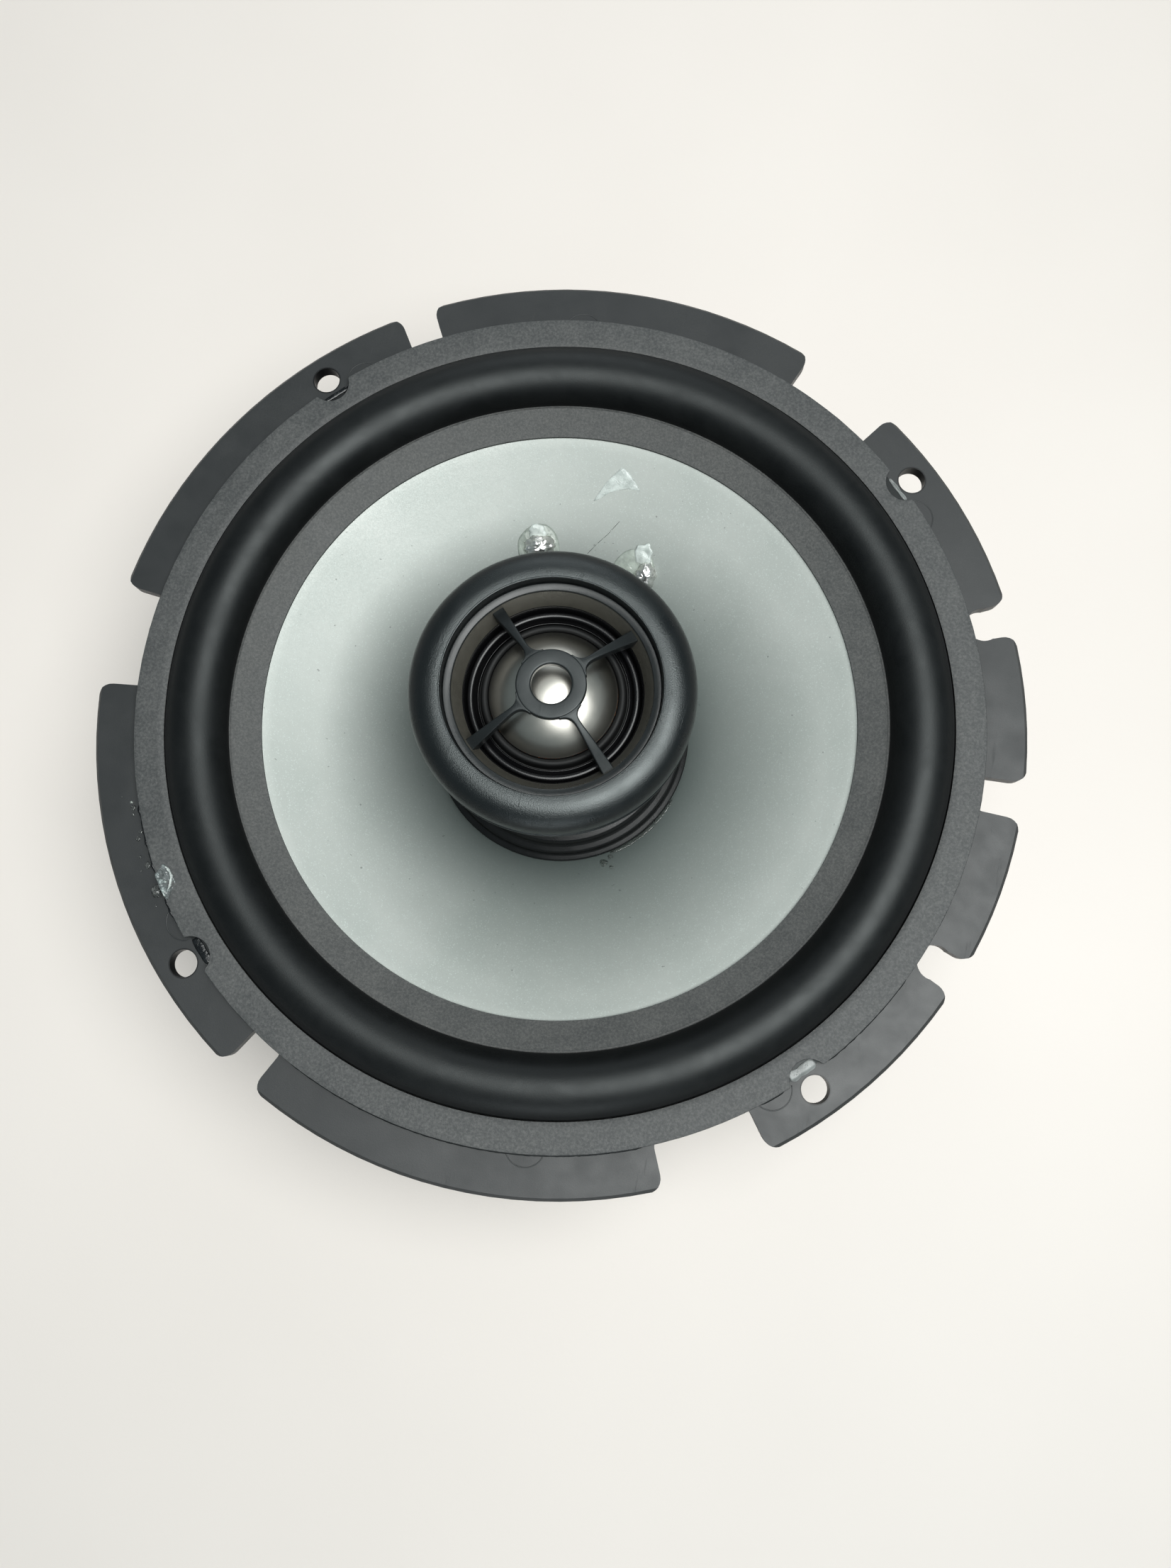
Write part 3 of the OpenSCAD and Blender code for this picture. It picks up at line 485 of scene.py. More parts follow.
def make_materials():
    """One material for each slot of the record, and the extra ones that some pieces wear."""
    finishes = {
        "basket_plastic": basket_plastic(),
        "gasket_rubber": rubber("gasket_rubber", (0.052, 0.055, 0.056), (0.135, 0.136, 0.133), 0.58,
                                0.30, 0.04, 0.6),
        "surround_rubber": rubber("surround_rubber", (0.0045, 0.005, 0.0055), (0.010, 0.0105, 0.011), 0.46,
                                  0.20, 0.014),
        "cone_silver": cone_silver(),
        "dust_ring_plastic": moulded("dust_ring_plastic", (0.007, 0.0075, 0.008), (0.020, 0.019, 0.017),
                                     0.30),
        "former_film": former_film(),
        "copper_wire": metal("copper_wire", (0.60, 0.24, 0.08), (0.45, 0.15, 0.05), 0.25),
        "solder": metal("solder", (0.86, 0.86, 0.84), (0.66, 0.63, 0.58), 0.30, 0.35, 0.03),
        "spider_cloth": spider_cloth(),
        "tinsel_braid": metal("tinsel_braid", (0.62, 0.46, 0.28), (0.40, 0.28, 0.16), 0.38),
        "plated_steel": turned_steel(),
        "ferrite": ferrite(),
        "boot_rubber": rubber("boot_rubber", (0.016, 0.016, 0.017), (0.034, 0.033, 0.031), 0.62,
                              0.25, 0.02),
        "screw_steel": metal("screw_steel", (0.20, 0.20, 0.21), (0.12, 0.115, 0.11), 0.32),
        "tweeter_black": moulded("tweeter_black", (0.018, 0.0205, 0.0215), (0.042, 0.046, 0.046), 0.36,
                                 0.16, 0.016),
        "face_ring_black": moulded("face_ring_black", (0.008, 0.008, 0.009), (0.020, 0.020, 0.020), 0.24,
                                   0.20, 0.004),
        "neodymium": metal("neodymium", (0.62, 0.62, 0.62), (0.50, 0.49, 0.47), 0.22),
        "dome_metal": dome_metal(),
        "soft_black": rubber("soft_black", (0.005, 0.0055, 0.006), (0.010, 0.0105, 0.0105), 0.62),
        "lead_red": pvc("lead_red", (0.36, 0.014, 0.010), (0.26, 0.010, 0.008)),
        "lead_black": pvc("lead_black", (0.012, 0.012, 0.012), (0.022, 0.022, 0.022)),
        "panel_board": panel_board(),
        "tinned_brass": metal("tinned_brass", (0.66, 0.65, 0.61), (0.56, 0.50, 0.38), 0.28),
        "rivet_metal": metal("rivet_metal", (0.60, 0.61, 0.61), (0.45, 0.45, 0.44), 0.34),
        "capacitor_sleeve": capacitor_sleeve(),
        "hot_glue": clear_glue("hot_glue", (0.80, 0.76, 0.62), 0.55, 0.30),
    }
    for slot in ("tweeter_black", "surround_rubber"):
        finishes[slot].put(finishes[slot].shader, "Specular Tint", (0.95, 1.0, 1.0))
    finishes.update({
        "landing": rubber("surround_landing", (0.052, 0.055, 0.055), (0.132, 0.132, 0.127), 0.58,
                          0.26, 0.035, 0.6),
        # the adhesive entry is the near-black rubber of the painted shadow line along the gasket's outer edge
        "adhesive": finishes["surround_rubber"],
        "glue": clear_glue("clear_glue", (0.86, 0.89, 0.86), 0.04),
        "milky": clear_glue("milky_glue", (0.80, 0.86, 0.83), 0.60, 0.16),
        "smear": clear_glue("smear_glue", (0.74, 0.80, 0.80), 0.14, 0.07),
        "seam": rubber("seam_glue", (0.006, 0.007, 0.008), (0.030, 0.034, 0.036), 0.16, 0.8, 0.10),
        "joint": clear_glue("joint_glue", (0.66, 0.72, 0.66), 0.45, 0.10),
        "bar": clear_glue("notch_glue", (0.30, 0.315, 0.31), 0.80, 0.30),
        "insert": dusty_insert(),
        "rim": rim_black(),
    })
    return {slot: f.material for slot, f in finishes.items()}


MAT = make_materials()
SLOT_WORN = {"rim": "tweeter_black", "insert": "tweeter_black", **dict.fromkeys(
    ("adhesive", "glue", "milky", "smear", "seam", "joint", "bar"), "hot_glue")}


# ---- mesh helpers
def piece(name, verts, faces, finish, body, node=None):
    """A new smooth-shaded mesh object that rides on a body, and stands for a CAD node if one is named."""
    mesh = bpy.data.meshes.new(name)
    mesh.from_pydata([(x * MM, y * MM, z * MM) for x, y, z in verts], [], faces)
    fix = bmesh.new()
    fix.from_mesh(mesh)
    bmesh.ops.remove_doubles(fix, verts=fix.verts, dist=2e-7)
    bmesh.ops.recalc_face_normals(fix, faces=fix.faces)
    fix.to_mesh(mesh)
    fix.free()
    mesh.materials.append(MAT[finish])
    mesh.polygons.foreach_set("use_smooth", [True] * len(mesh.polygons))
    made = bpy.data.objects.new(name, mesh)
    bpy.context.scene.collection.objects.link(made)
    if body:
        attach(made, body)
    if node:
        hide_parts(node)
    return made


def stretch_between(made, weight):
    """Bakes a mesh's transform and works out each point's share, from the fixed frame (0) to another body
    (1), by weight(point); the shares are not stored or used.
    """
    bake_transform(made)
    shares = [ease(weight(v.co / MM)) for v in made.data.vertices]


def shade_flat_parts(made, degrees=40):
    """Keeps flat faces flat and rounded ones smooth on a mesh whose corners are already rounded."""
    made.modifiers.new("shade", "WEIGHTED_NORMAL").keep_sharp = True
    made.data.set_sharp_from_angle(angle=math.radians(degrees))


def revolve(name, profile, finish, body, node=None, steps=256, angles=None, shape=None):
    """Turns a closed outline of (radius, height) points about Z. shape(r, z, degrees) may move each point."""
    angles = angles or [360 * s / steps for s in range(steps)]
    count = len(profile)
    verts = []
    for degrees in angles:
        turn = math.radians(degrees)
        for r, z in profile:
            if shape:
                r, z = shape(r, z, degrees)
            verts.append((r * math.cos(turn), r * math.sin(turn), z))
    faces = []
    for s in range(len(angles)):
        n = (s + 1) % len(angles)
        for i in range(count):
            j = (i + 1) % count
            faces.append((s * count + i, n * count + i, n * count + j, s * count + j))
    made = piece(name, verts, faces, finish, body, node)
    shade_flat_parts(made)
    return made


def arc(radius, start, end, steps, centre=(0, 0), squash=1.0):
    """Points on an arc, angles in degrees."""
    out = []
    for k in range(steps + 1):
        a = math.radians(start + (end - start) * k / steps)
        out.append((centre[0] + radius * math.cos(a), centre[1] + radius * squash * math.sin(a)))
    return out


def rounded(points, radius, steps=4):
    """A closed outline with its corners rounded. radius is one number, or one for each point."""
    out = []
    count = len(points)
    for i, p in enumerate(points):
        here = Vector(p)
        want = radius[i] if isinstance(radius, (list, tuple)) else radius
        back = Vector(points[i - 1]) - here
        ahead = Vector(points[(i + 1) % count]) - here
        reach = min(want, 0.45 * back.length, 0.45 * ahead.length)
        if reach <= 0:
            out.append(tuple(here))
            continue
        a = here + back.normalized() * reach
        b = here + ahead.normalized() * reach
        for k in range(steps + 1):
            t = k / steps
            out.append(tuple(a * (1 - t) ** 2 + here * 2 * t * (1 - t) + b * t * t))
    return out


def quads(rows, width, start=0):
    """Faces between rows of width points, where every row closes on itself."""
    faces = []
    for a in range(start, start + (rows - 1) * width, width):
        for k in range(width):
            m = (k + 1) % width
            faces.append((a + k, a + m, a + width + m, a + width + k))
    return faces


def smooth_route(points, step):
    """Points every step along a smooth curve through the given ones."""
    p = [Vector(q) for q in points]
    p = [p[0] * 2 - p[1]] + p + [p[-1] * 2 - p[-2]]
    out = []
    for i in range(1, len(p) - 2):
        a, b, c, d = p[i - 1:i + 3]
        parts = max(1, round((c - b).length / step))
        for k in range(parts):
            t = k / parts
            out.append(0.5 * (2 * b + (c - a) * t + (2 * a - 5 * b + 4 * c - d) * t * t
                              + (3 * b - a - 3 * c + d) * t ** 3))
    return out + [p[-2]]


def tube(name, points, radius, finish, body, node=None, sides=12, shape=None):
    """A round tube along points. shape(k, side) scales the radius there."""
    count = len(points)
    headings = [(points[min(i + 1, count - 1)] - points[max(i - 1, 0)]).normalized() for i in range(count)]
    side = headings[0].orthogonal().normalized()
    verts = []
    for i, here in enumerate(points):
        side = (side - headings[i] * side.dot(headings[i])).normalized()
        other = headings[i].cross(side)
        for k in range(sides):
            a = 2 * math.pi * k / sides
            r = radius * (shape(i, k) if shape else 1.0)
            verts.append(here + side * math.cos(a) * r + other * math.sin(a) * r)
    faces = [tuple(range(sides))] + quads(count, sides)
    faces.append(tuple((count - 1) * sides + k for k in range(sides)))
    return piece(name, verts, faces, finish, body, node)


def blob(name, at, outline, height, ground, finish, body, rings=10, spokes=48, lumps=0.0):
    """A drop of glue. outline(radians) is its radius that way, ground(x, y) the surface below."""
    verts = []
    for k in range(rings + 1):
        share = k / rings
        for s in range(spokes):
            a = 2 * math.pi * s / spokes
            r = outline(a) * share
            x, y = at[0] + r * math.cos(a), at[1] + r * math.sin(a)
            swell = height * math.sqrt(max(0.0, 1 - share ** 2.4))
            swell *= 1 + lumps * noise.noise(Vector((x, y, height)) * 0.9)
            verts.append((x, y, ground(x, y) + 0.01 + swell))
    base = len(verts)
    for s in range(spokes):
        a = 2 * math.pi * s / spokes
        x, y = at[0] + outline(a) * math.cos(a), at[1] + outline(a) * math.sin(a)
        verts.append((x, y, ground(x, y) - 0.03))
    faces = quads(rings, spokes, spokes)
    for s in range(spokes):
        n = (s + 1) % spokes
        faces.append((0, spokes + s, spokes + n))
        faces.append((rings * spokes + s, rings * spokes + n, base + n, base + s))
    faces.append(tuple(base + s for s in range(spokes)))
    used = sorted({v for f in faces for v in f})
    number = {v: i for i, v in enumerate(used)}
    return piece(name, [verts[v] for v in used], [tuple(number[v] for v in f) for f in faces],
                 finish, body)


def bead(name, points, ground, finish, body, sides=8):
    """A ridge of glue along (x, y, half width, height) points, flat on the surface below."""
    verts = []
    count = len(points)
    for i, (x, y, half, height) in enumerate(points):
        before, after = points[max(i - 1, 0)], points[min(i + 1, count - 1)]
        run = Vector((after[0] - before[0], after[1] - before[1])).normalized()
        for k in range(sides + 1):
            a = math.pi * k / sides
            px, py = x - run.y * half * math.cos(a), y + run.x * half * math.cos(a)
            verts.append((px, py, ground(px, py) + height * math.sin(a)))
    row = sides + 1
    faces = [tuple(range(row)), tuple((count - 1) * row + k for k in range(row))]
    return piece(name, verts, faces + quads(count, row), finish, body)


def polar(r, degrees):
    """X and Y at a radius and an angle."""
    return r * math.cos(math.radians(degrees)), r * math.sin(math.radians(degrees))


def on_cone(x, y):
    """Height of the cone's face at a point."""
    return cone_z(math.hypot(x, y))


# ---- CAD nodes that stay
def soften(node, width, angle=32):
    """Rounds a CAD node's edges and smooths its curved faces, with modifiers only."""
    made = frame["nodes"][node]
    made.modifiers.new("weld", "WELD").merge_threshold = 2e-6
    flat = made.modifiers.new("flat", "DECIMATE")
    flat.decimate_type = "DISSOLVE"
    flat.angle_limit = math.radians(0.4)
    bevel = made.modifiers.new("bevel", "BEVEL")
    bevel.width = width * MM
    bevel.segments = 3
    bevel.limit_method = "ANGLE"
    bevel.angle_limit = math.radians(angle)
    bevel.harden_normals = False
    made.modifiers.new("shade", "WEIGHTED_NORMAL").keep_sharp = False
    made.data.polygons.foreach_set("use_smooth", [True] * len(made.data.polygons))


def dress_cad_nodes():
    """Gives each CAD node its slot's material, and soft edges to the ones that show."""
    for node, made in frame["nodes"].items():
        made.data.materials.clear()
        made.data.materials.append(MAT[SLOT_OF[node]])
    edges = {"basket": 0.4, "top_plate": 0.25, "ferrite_magnet": 0.5, "pole_yoke": 0.25, "magnet_boot": 0.3,
             "basket_screws": 0.12, "tweeter_post": 0.3, "post_bolt": 0.12, "post_nut": 0.15,
             "tweeter_housing": 0.3, "tweeter_pot": 0.15, "tweeter_magnet": 0.15, "tweeter_pole_disc": 0.12,
             "terminal_panel": 0.15, "terminal_positive": 0.10, "terminal_negative": 0.10,
             "panel_rivet": 0.15, "capacitor": 0.15, "voice_coil_former": 0.03, "tweeter_coil": 0.04}
    for node, width in edges.items():
        soften(node, width)


# ---- woofer
def fine_angles(places, reach, fine, coarse):
    """Angles round the circle, close together near the given places."""
    out = []
    a = 0.0
    while a < 359.99:
        out.append(a)
        near = min(abs((a - p + 180) % 360 - 180) for p in places)
        a += fine if near < reach else coarse
    return out


def make_gasket():
    """Foam gasket, bitten out at each mounting hole, with a slightly crushed top."""
    inner = ROLL_OUT_R + 0.05

    def outer_limit(degrees):
        off = math.radians(min(((degrees - a + 180) % 360 - 180 for a in BOLT_ANGLES), key=abs))
        across = NOTCH_AT_R * math.sin(off)
        if abs(across) >= NOTCH_R:
            return GASKET_OUT_R
        return min(GASKET_OUT_R, NOTCH_AT_R * math.cos(off) - math.sqrt(NOTCH_R ** 2 - across ** 2))

    def shape(r, z, degrees):
        share = (r - inner) / (GASKET_OUT_R - inner)
        limit = outer_limit(degrees)
        fray = 0.05 * wave(degrees * 1.3, 0, 3) * share
        r += (limit - GASKET_OUT_R) * ease(share) + fray - 0.05 * share
        if z > GASKET_LOW + 0.5:
            turn = math.radians(degrees)
            z += 0.05 * noise.noise(Vector((r * math.cos(turn), r * math.sin(turn), 0)) * 0.22) - 0.05
        return r, z

    width = GASKET_OUT_R - inner
    tops = [(GASKET_OUT_R - width * k / 8, GASKET_TOP) for k in range(1, 8)]
    outline = rounded([(inner, GASKET_LOW), (GASKET_OUT_R, GASKET_LOW), (GASKET_OUT_R, GASKET_TOP)],
                      [0.03, 0.1, 0.28])
    outline += tops + rounded([(inner, GASKET_TOP), (inner, GASKET_LOW)], [0.22, 0.0])[:5]
    revolve("gasket_ring", outline, "gasket_rubber", FIXED, "gasket",
            angles=fine_angles(BOLT_ANGLES, 5, 0.15, 0.9), shape=shape)


def make_surround():
    """Half-roll rubber surround with its lip and the wide landing glued over the cone's edge."""
    mid = (ROLL_OUT_R + ROLL_IN_R) / 2
    half = (ROLL_OUT_R - ROLL_IN_R) / 2
    squash = (ROLL_TOP - GASKET_LOW) / half
    crown = arc(half, 0, 180, 40, (mid, GASKET_LOW), squash)
    hollow = arc(half - 0.6, 180, 0, 28, (mid, GASKET_LOW - 0.4), squash)
    landing = [(ROLL_IN_R, GASKET_LOW + 0.01), (ROLL_IN_R - 0.35, GASKET_LOW + 0.02)]
    landing += [(CONE_FACE_R + 5 * k / 6, CONE_FACE_Z + 0.5 + 1.66 * k / 6) for k in range(6, 0, -1)]
    landing += rounded([(CONE_FACE_R, CONE_FACE_Z + 0.5), (CONE_FACE_R, CONE_FACE_Z + 0.05)], [0.0, 0.0])
    outline = [(LIP_R, FLANGE_TOP), (LIP_R, GASKET_LOW - 0.04), (ROLL_OUT_R + 0.3, GASKET_LOW - 0.04)]
    outline += crown + landing + [(ROLL_IN_R, CONE_EDGE_Z + 0.05)] + hollow + [(ROLL_OUT_R, FLANGE_TOP)]

    def shape(r, z, degrees):
        turn = math.radians(degrees)
        if CONE_FACE_R + 0.2 < r < ROLL_IN_R and z > CONE_FACE_Z + 0.5:
            z += 0.06 * noise.noise(Vector((r * math.cos(turn), r * math.sin(turn), 5)) * 0.3)
        return r, z

    made = revolve("surround_roll", outline, "surround_rubber", None, "surround",
                   steps=300, shape=shape)
    made.data.materials.append(MAT["landing"])
    for f in made.data.polygons:
        reach = math.hypot(f.center.x, f.center.y) / MM
        if reach < ROLL_IN_R - 0.02:
            f.material_index = 1
    fixed_r, span = ROLL_OUT_R - 0.3, ROLL_OUT_R - ROLL_IN_R - 0.5
    stretch_between(made, lambda p: (fixed_r - math.hypot(p.x, p.y)) / span)


def make_cone():
    """Thin moulded cone with a rolled shoulder under the landing."""
    front = [(NECK_R + 0.02 + (CONE_FACE_R - NECK_R) * k / 24,
              NECK_Z + (CONE_FACE_Z - NECK_Z) * k / 24) for k in range(25)]
    back = [(r, z - CONE_T) for r, z in reversed(front[1:])]
    outline = front + [(ROLL_IN_R, CONE_EDGE_Z), (ROLL_IN_R, CONE_EDGE_Z - CONE_T)] + back
    outline += [(NECK_R + CONE_T, NECK_Z - CONE_T - 0.2), (NECK_R + CONE_T, NECK_Z - 2),
                (NECK_R + 0.02, NECK_Z - 2)]
    revolve("cone_shell", outline, "cone_silver", MOVING, "cone", steps=288)


def make_dust_ring():
    """Stepped black trim ring glued round the post, with rounded steps."""
    foot = cone_z(DUST_R)
    outline = rounded([
        (DUST_R, foot + 0.05), (DUST_R, foot + 1.0), (23.2, foot + 1.35), (22.95, foot + 2.3),
        (21.6, foot + 2.8), (21.2, foot + 3.9), (16.0, foot + 5.7), (11.0, foot + 6.3),
        (10.5, foot + 6.0), (10.5, foot + 5.3), (15.8, foot + 4.7), (20.5, foot + 2.9),
        (21.9, foot + 1.7), (22.5, cone_z(22.5) + 0.05)],
        [0.05, 0.25, 0.3, 0.3, 0.35, 0.4, 1.2, 0.2, 0.1, 0.1, 0.5, 0.3, 0.3, 0.1])
    revolve("dust_ring_trim", outline, "dust_ring_plastic", MOVING, "dust_ring")


def make_spider():
    """Corrugated cloth disc that centres the voice coil."""
    mid = low("spider") + 1.4
    inner, outer, waves, depth, flat_r = 15.0, 36.0, 4, 1.1, wide("spider")
    steps, half_cloth = 96, 0.28
    line = [(NECK_R + 0.05, mid)]
    for k in range(steps + 1):
        swing = depth * math.sin(2 * math.pi * waves * k / steps)
        line.append((inner + (outer - inner) * k / steps, mid - swing))
    line.append((flat_r, mid))
    outline = [(r, z + half_cloth) for r, z in line] + [(r, z - half_cloth) for r, z in reversed(line)]
    made = revolve("spider_disc", outline, "spider_cloth", None, "spider", steps=240)
    stretch_between(made, lambda p: (outer - math.hypot(p.x, p.y)) / (outer - inner))


def make_winding():
    """Voice coil winding: one ridge for each turn of wire."""
    r_in, r_out = NECK_R + 0.02, wide("voice_coil_winding")
    z_low, z_high = low("voice_coil_winding"), top("voice_coil_winding")
    turns = 32
    pitch = (z_high - z_low) / turns
    outline = [(r_in, z_low)]
    for t in range(turns):
        z = z_low + pitch * (t + 0.5)
        outline += [(r_out - 0.07, z - pitch * 0.48), (r_out, z), (r_out - 0.07, z + pitch * 0.48)]
    outline.append((r_in, z_high))
    revolve("coil_turns", outline, "copper_wire", MOVING, "voice_coil_winding", steps=128)


def make_solder_joints():
    """Bumpy solder on each eyelet, in a disc of clear glue, with the coil ends running to it."""
    slope = math.atan(CONE_SLOPE)
    rings, spokes = 20, 44
    verts, faces = [], []
    for n, (r, degrees) in enumerate(JOINTS):
        out = Vector((*polar(1, degrees), 0))
        across = Vector((-out.y, out.x, 0))
        up = Matrix.Rotation(-slope, 3, across) @ Vector((0, 0, 1))
        along = across.cross(up)
        middle = Vector((*polar(r, degrees), cone_z(r))) - along * (0.5 + 0.3 * n) - across * 1.1 * n
        start = len(verts)
        for k in range(rings + 1):
            tilt = math.pi * k / rings
            for s in range(spokes):
                a = 2 * math.pi * s / spokes
                ray = along * math.sin(tilt) * math.cos(a) + across * math.sin(tilt) * math.sin(a)
                ray += up * math.cos(tilt)
                lump = noise.noise(ray * 2.2 + Vector((n * 9, 0, 0))) * 0.20
                lump += noise.noise(ray * 6.0 + Vector((0, n * 9, 0))) * 0.14
                spread = ray * 2.05 * (1 + lump)
                spread += along * spread.dot(along) * 0.25 * n - up * spread.dot(up) * 0.15
                spread += across * spread.dot(across) * 0.40 * (1 - n)
                verts.append(middle + spread + up * 0.35)
        faces += quads(rings + 1, spokes, start)
    piece("solder_lumps", verts, faces, "solder", MOVING, "solder_joints")
    for n, (r, degrees) in enumerate(JOINTS):
        def edge(a, n=n):
            return 4.1 * (1 + 0.07 * noise.noise(Vector((math.cos(a), math.sin(a), n * 7.0)) * 1.5))

        def cap(a, n=n):
            return 1.7 * (1 + 0.35 * noise.noise(Vector((math.cos(a), math.sin(a), n * 4.0)) * 2.4))
        blob(f"joint_glue_{n + 1}", polar(r - 1.0, degrees + n * 2.2), edge, 0.55, on_cone, "joint",
             MOVING, rings=14, spokes=64, lumps=0.25)
        blob(f"joint_cap_{n + 1}", polar(r + 1.35 + 1.15 * n, degrees + n * 1.2), cap, 0.34,
             lambda x, y: on_cone(x, y) + 0.42, "milky", MOVING, lumps=0.8)
        ends = []
        for k in range(25):
            reach = 14.6 + (r - 2.0 - 14.6) * k / 24
            wobble = 0.7 * math.sin(k * 0.21 + n)
            ends.append(Vector((*polar(reach, degrees + wobble), cone_z(reach) + 0.20)))
        tube(f"coil_end_{n + 1}", ends, 0.17, "copper_wire", MOVING,
             "coil_end_wires", sides=10)


def outline_about(at, points):
    """The distance from at to a closed outline, as a function of the direction."""
    def reach(a):
        ray = Vector((math.cos(a), math.sin(a)))
        found = 0.05
        for i, p in enumerate(points):
            start, edge = Vector(p) - Vector(at), Vector(points[(i + 1) % len(points)]) - Vector(p)
            turn = ray.x * edge.y - ray.y * edge.x
            if abs(turn) < 1e-9:
                continue
            far = (start.x * edge.y - start.y * edge.x) / turn
            share = (start.x * ray.y - start.y * ray.x) / turn
            if far > 0 and -1e-6 <= share <= 1 + 1e-6:
                found = max(found, far)
        return found
    return reach


def make_cone_glue():
    """Stray clear glue on the cone: a dragged drop, a fillet along the dust ring and a few droplets."""
    drag = rounded([(2.5, 50.0), (5.0, 48.0), (6.6, 46.3), (4.6, 46.6), (1.2, 45.7), (-2.2, 43.2),
                    (-0.4, 46.8)], [0.9, 1.2, 0.3, 1.0, 1.2, 0.3, 1.5])
    middle = (1.9, 47.0)
    blob("glue_drag", middle, outline_about(middle, drag), 0.10, on_cone, "milky", MOVING,
         spokes=96, lumps=0.5)
    trail = [(3.5, 41.0, 0.03, 0.01), (1.7, 38.6, 0.05, 0.02), (-0.1, 36.7, 0.05, 0.02),
             (-1.6, 34.8, 0.03, 0.01)]
    bead("glue_trail", trail, on_cone, "glue", MOVING)
    fillet = []
    for k in range(41):
        degrees = 303 + 37 * k / 40
        swell = math.sin(math.pi * min(1.0, k / 40) ** 0.8) ** 0.5 if 0 < k < 40 else 0.05
        grain = 0.5 + 0.5 * wave(degrees * 0.35, 1.0, 0.0)
        fillet.append((*polar(DUST_R + 0.25, degrees), 0.12 + 0.42 * swell * (0.5 + grain),
                       0.1 + 0.5 * swell * grain))
    bead("glue_fillet", fillet, lambda x, y: on_cone(x, y) - 0.02, "glue", MOVING)
    for n, (r, degrees, size) in enumerate(((26.0, 299.0, 0.75), (25.3, 302.5, 0.5), (27.3, 301.2, 0.4))):
        def edge(a, size=size):
            return size * (1 + 0.08 * math.sin(3 * a))
        blob(f"glue_droplet_{n + 1}", polar(r, degrees), edge, size * 0.55, on_cone, "glue", MOVING,
             rings=6, spokes=24)


# ---- flange details
def flange(x, y):
    """Height of the flange, for blobs and beads that lie on it."""
    return FLANGE_TOP


def lip_or_flange(x, y):
    """The surround's lip inside a gasket notch, and the flange past its edge."""
    return FLANGE_TOP + (GASKET_LOW - FLANGE_TOP) * ease((LIP_R + 0.35 - math.hypot(x, y)) / 0.4)


def make_ejector_marks():
    """Fine raised outlines of the round ejector pads, where they show past the gasket's edge."""
    pad_r, pad_at = 3.4, 74.2
    for n, degrees in enumerate([a - 4.7 for a in BOLT_ANGLES] + [97.5, 277.0]):
        side = math.degrees(math.acos((GASKET_OUT_R - pad_at - 0.1) / pad_r))
        middle = Vector(polar(pad_at, degrees))
        points = []
        for k in range(41):
            x, y = polar(pad_r, degrees - side + 2 * side * k / 40)
            points.append((middle.x + x, middle.y + y, 0.10, 0.05))
        bead(f"ejector_mark_{n + 1}", points, flange, "basket_plastic", FIXED)


def make_notch_bars():
    """A bar of glue in each gasket notch: grey in the first and last, dark in the others."""
    bars = zip(BOLT_ANGLES, (74.75, 74.3, 74.1, 74.15), (0.48, 0.5, 0.85, 0.95),
               ("bar", "seam", "seam", "bar"))
    for n, (degrees, bar_r, half, finish) in enumerate(bars):
        out = Vector(polar(1, degrees))
        side = Vector((-out.y, out.x))
        points = []
        for k in range(25):
            t = -2.5 + 5.0 * k / 24
            x, y = polar(bar_r, degrees)
            swell = math.sqrt(max(0.02, 1 - (t / 2.6) ** 8))
            grain = wave(t * 0.8, n * 5.0, 0)
            points.append((x + side.x * t, y + side.y * t, half * (1 + 0.25 * grain) * swell,
                           (0.17 + 0.08 * grain) * swell))
        bead(f"notch_glue_{n + 1}", points, lip_or_flange, finish, FIXED, sides=14)


def make_edge_shadow_line():
    """A thin black bead along the gasket's outer edge, between the flange's gaps and the notches: a dark line
    that paints the shadow under the gasket's edge.
    """
    stops = [(a, 3.2) for a in (0, 23, 120, 240, 337)] + [(a, 7.6) for a in (60, 180, 300)]
    stops = sorted(stops + [(a, 2.95) for a in BOLT_ANGLES])
    for n, (at, half) in enumerate(stops):
        after, half_after = stops[(n + 1) % len(stops)]
        low_a, high_a = at + half, after + (360 if after < at else 0) - half_after
        count = max(6, int((high_a - low_a) * 2.5))
        points = []
        for k in range(count + 1):
            degrees = low_a + (high_a - low_a) * k / count
            grain = wave(degrees * 1.3, 9.0, 0.0)
            fade = min(1.0, k / 3 + 0.1, (count - k) / 3 + 0.1)
            thick = (1.25 - 0.35 * math.sin(math.radians(degrees))) * (1 + 0.35 * grain) * fade
            points.append((*polar(GASKET_OUT_R + 0.08, degrees), 0.20 * thick, 0.15 * thick))
        # painted shadow: a near-black bead in place of the shade under the gasket's edge
        bead(f"edge_shadow_line_{n + 1}", points, flange, "adhesive", FIXED)


def make_seam_glue():
    """Dark glue squeezed out along the gasket's left edge."""
    seam = []
    for k in range(81):
        degrees = 201 + 20.5 * k / 80
        grain = wave(degrees * 0.9, 4.0, 0.0)
        fade = min(1.0, k / 10, (80 - k) / 10) + 0.02
        seam.append((*polar(GASKET_OUT_R + 0.30 + 0.10 * grain, degrees),
                     (0.34 + 0.18 * grain) * fade, (0.75 + 0.3 * grain) * fade))
    bead("seam_glue", seam, flange, "seam", FIXED)


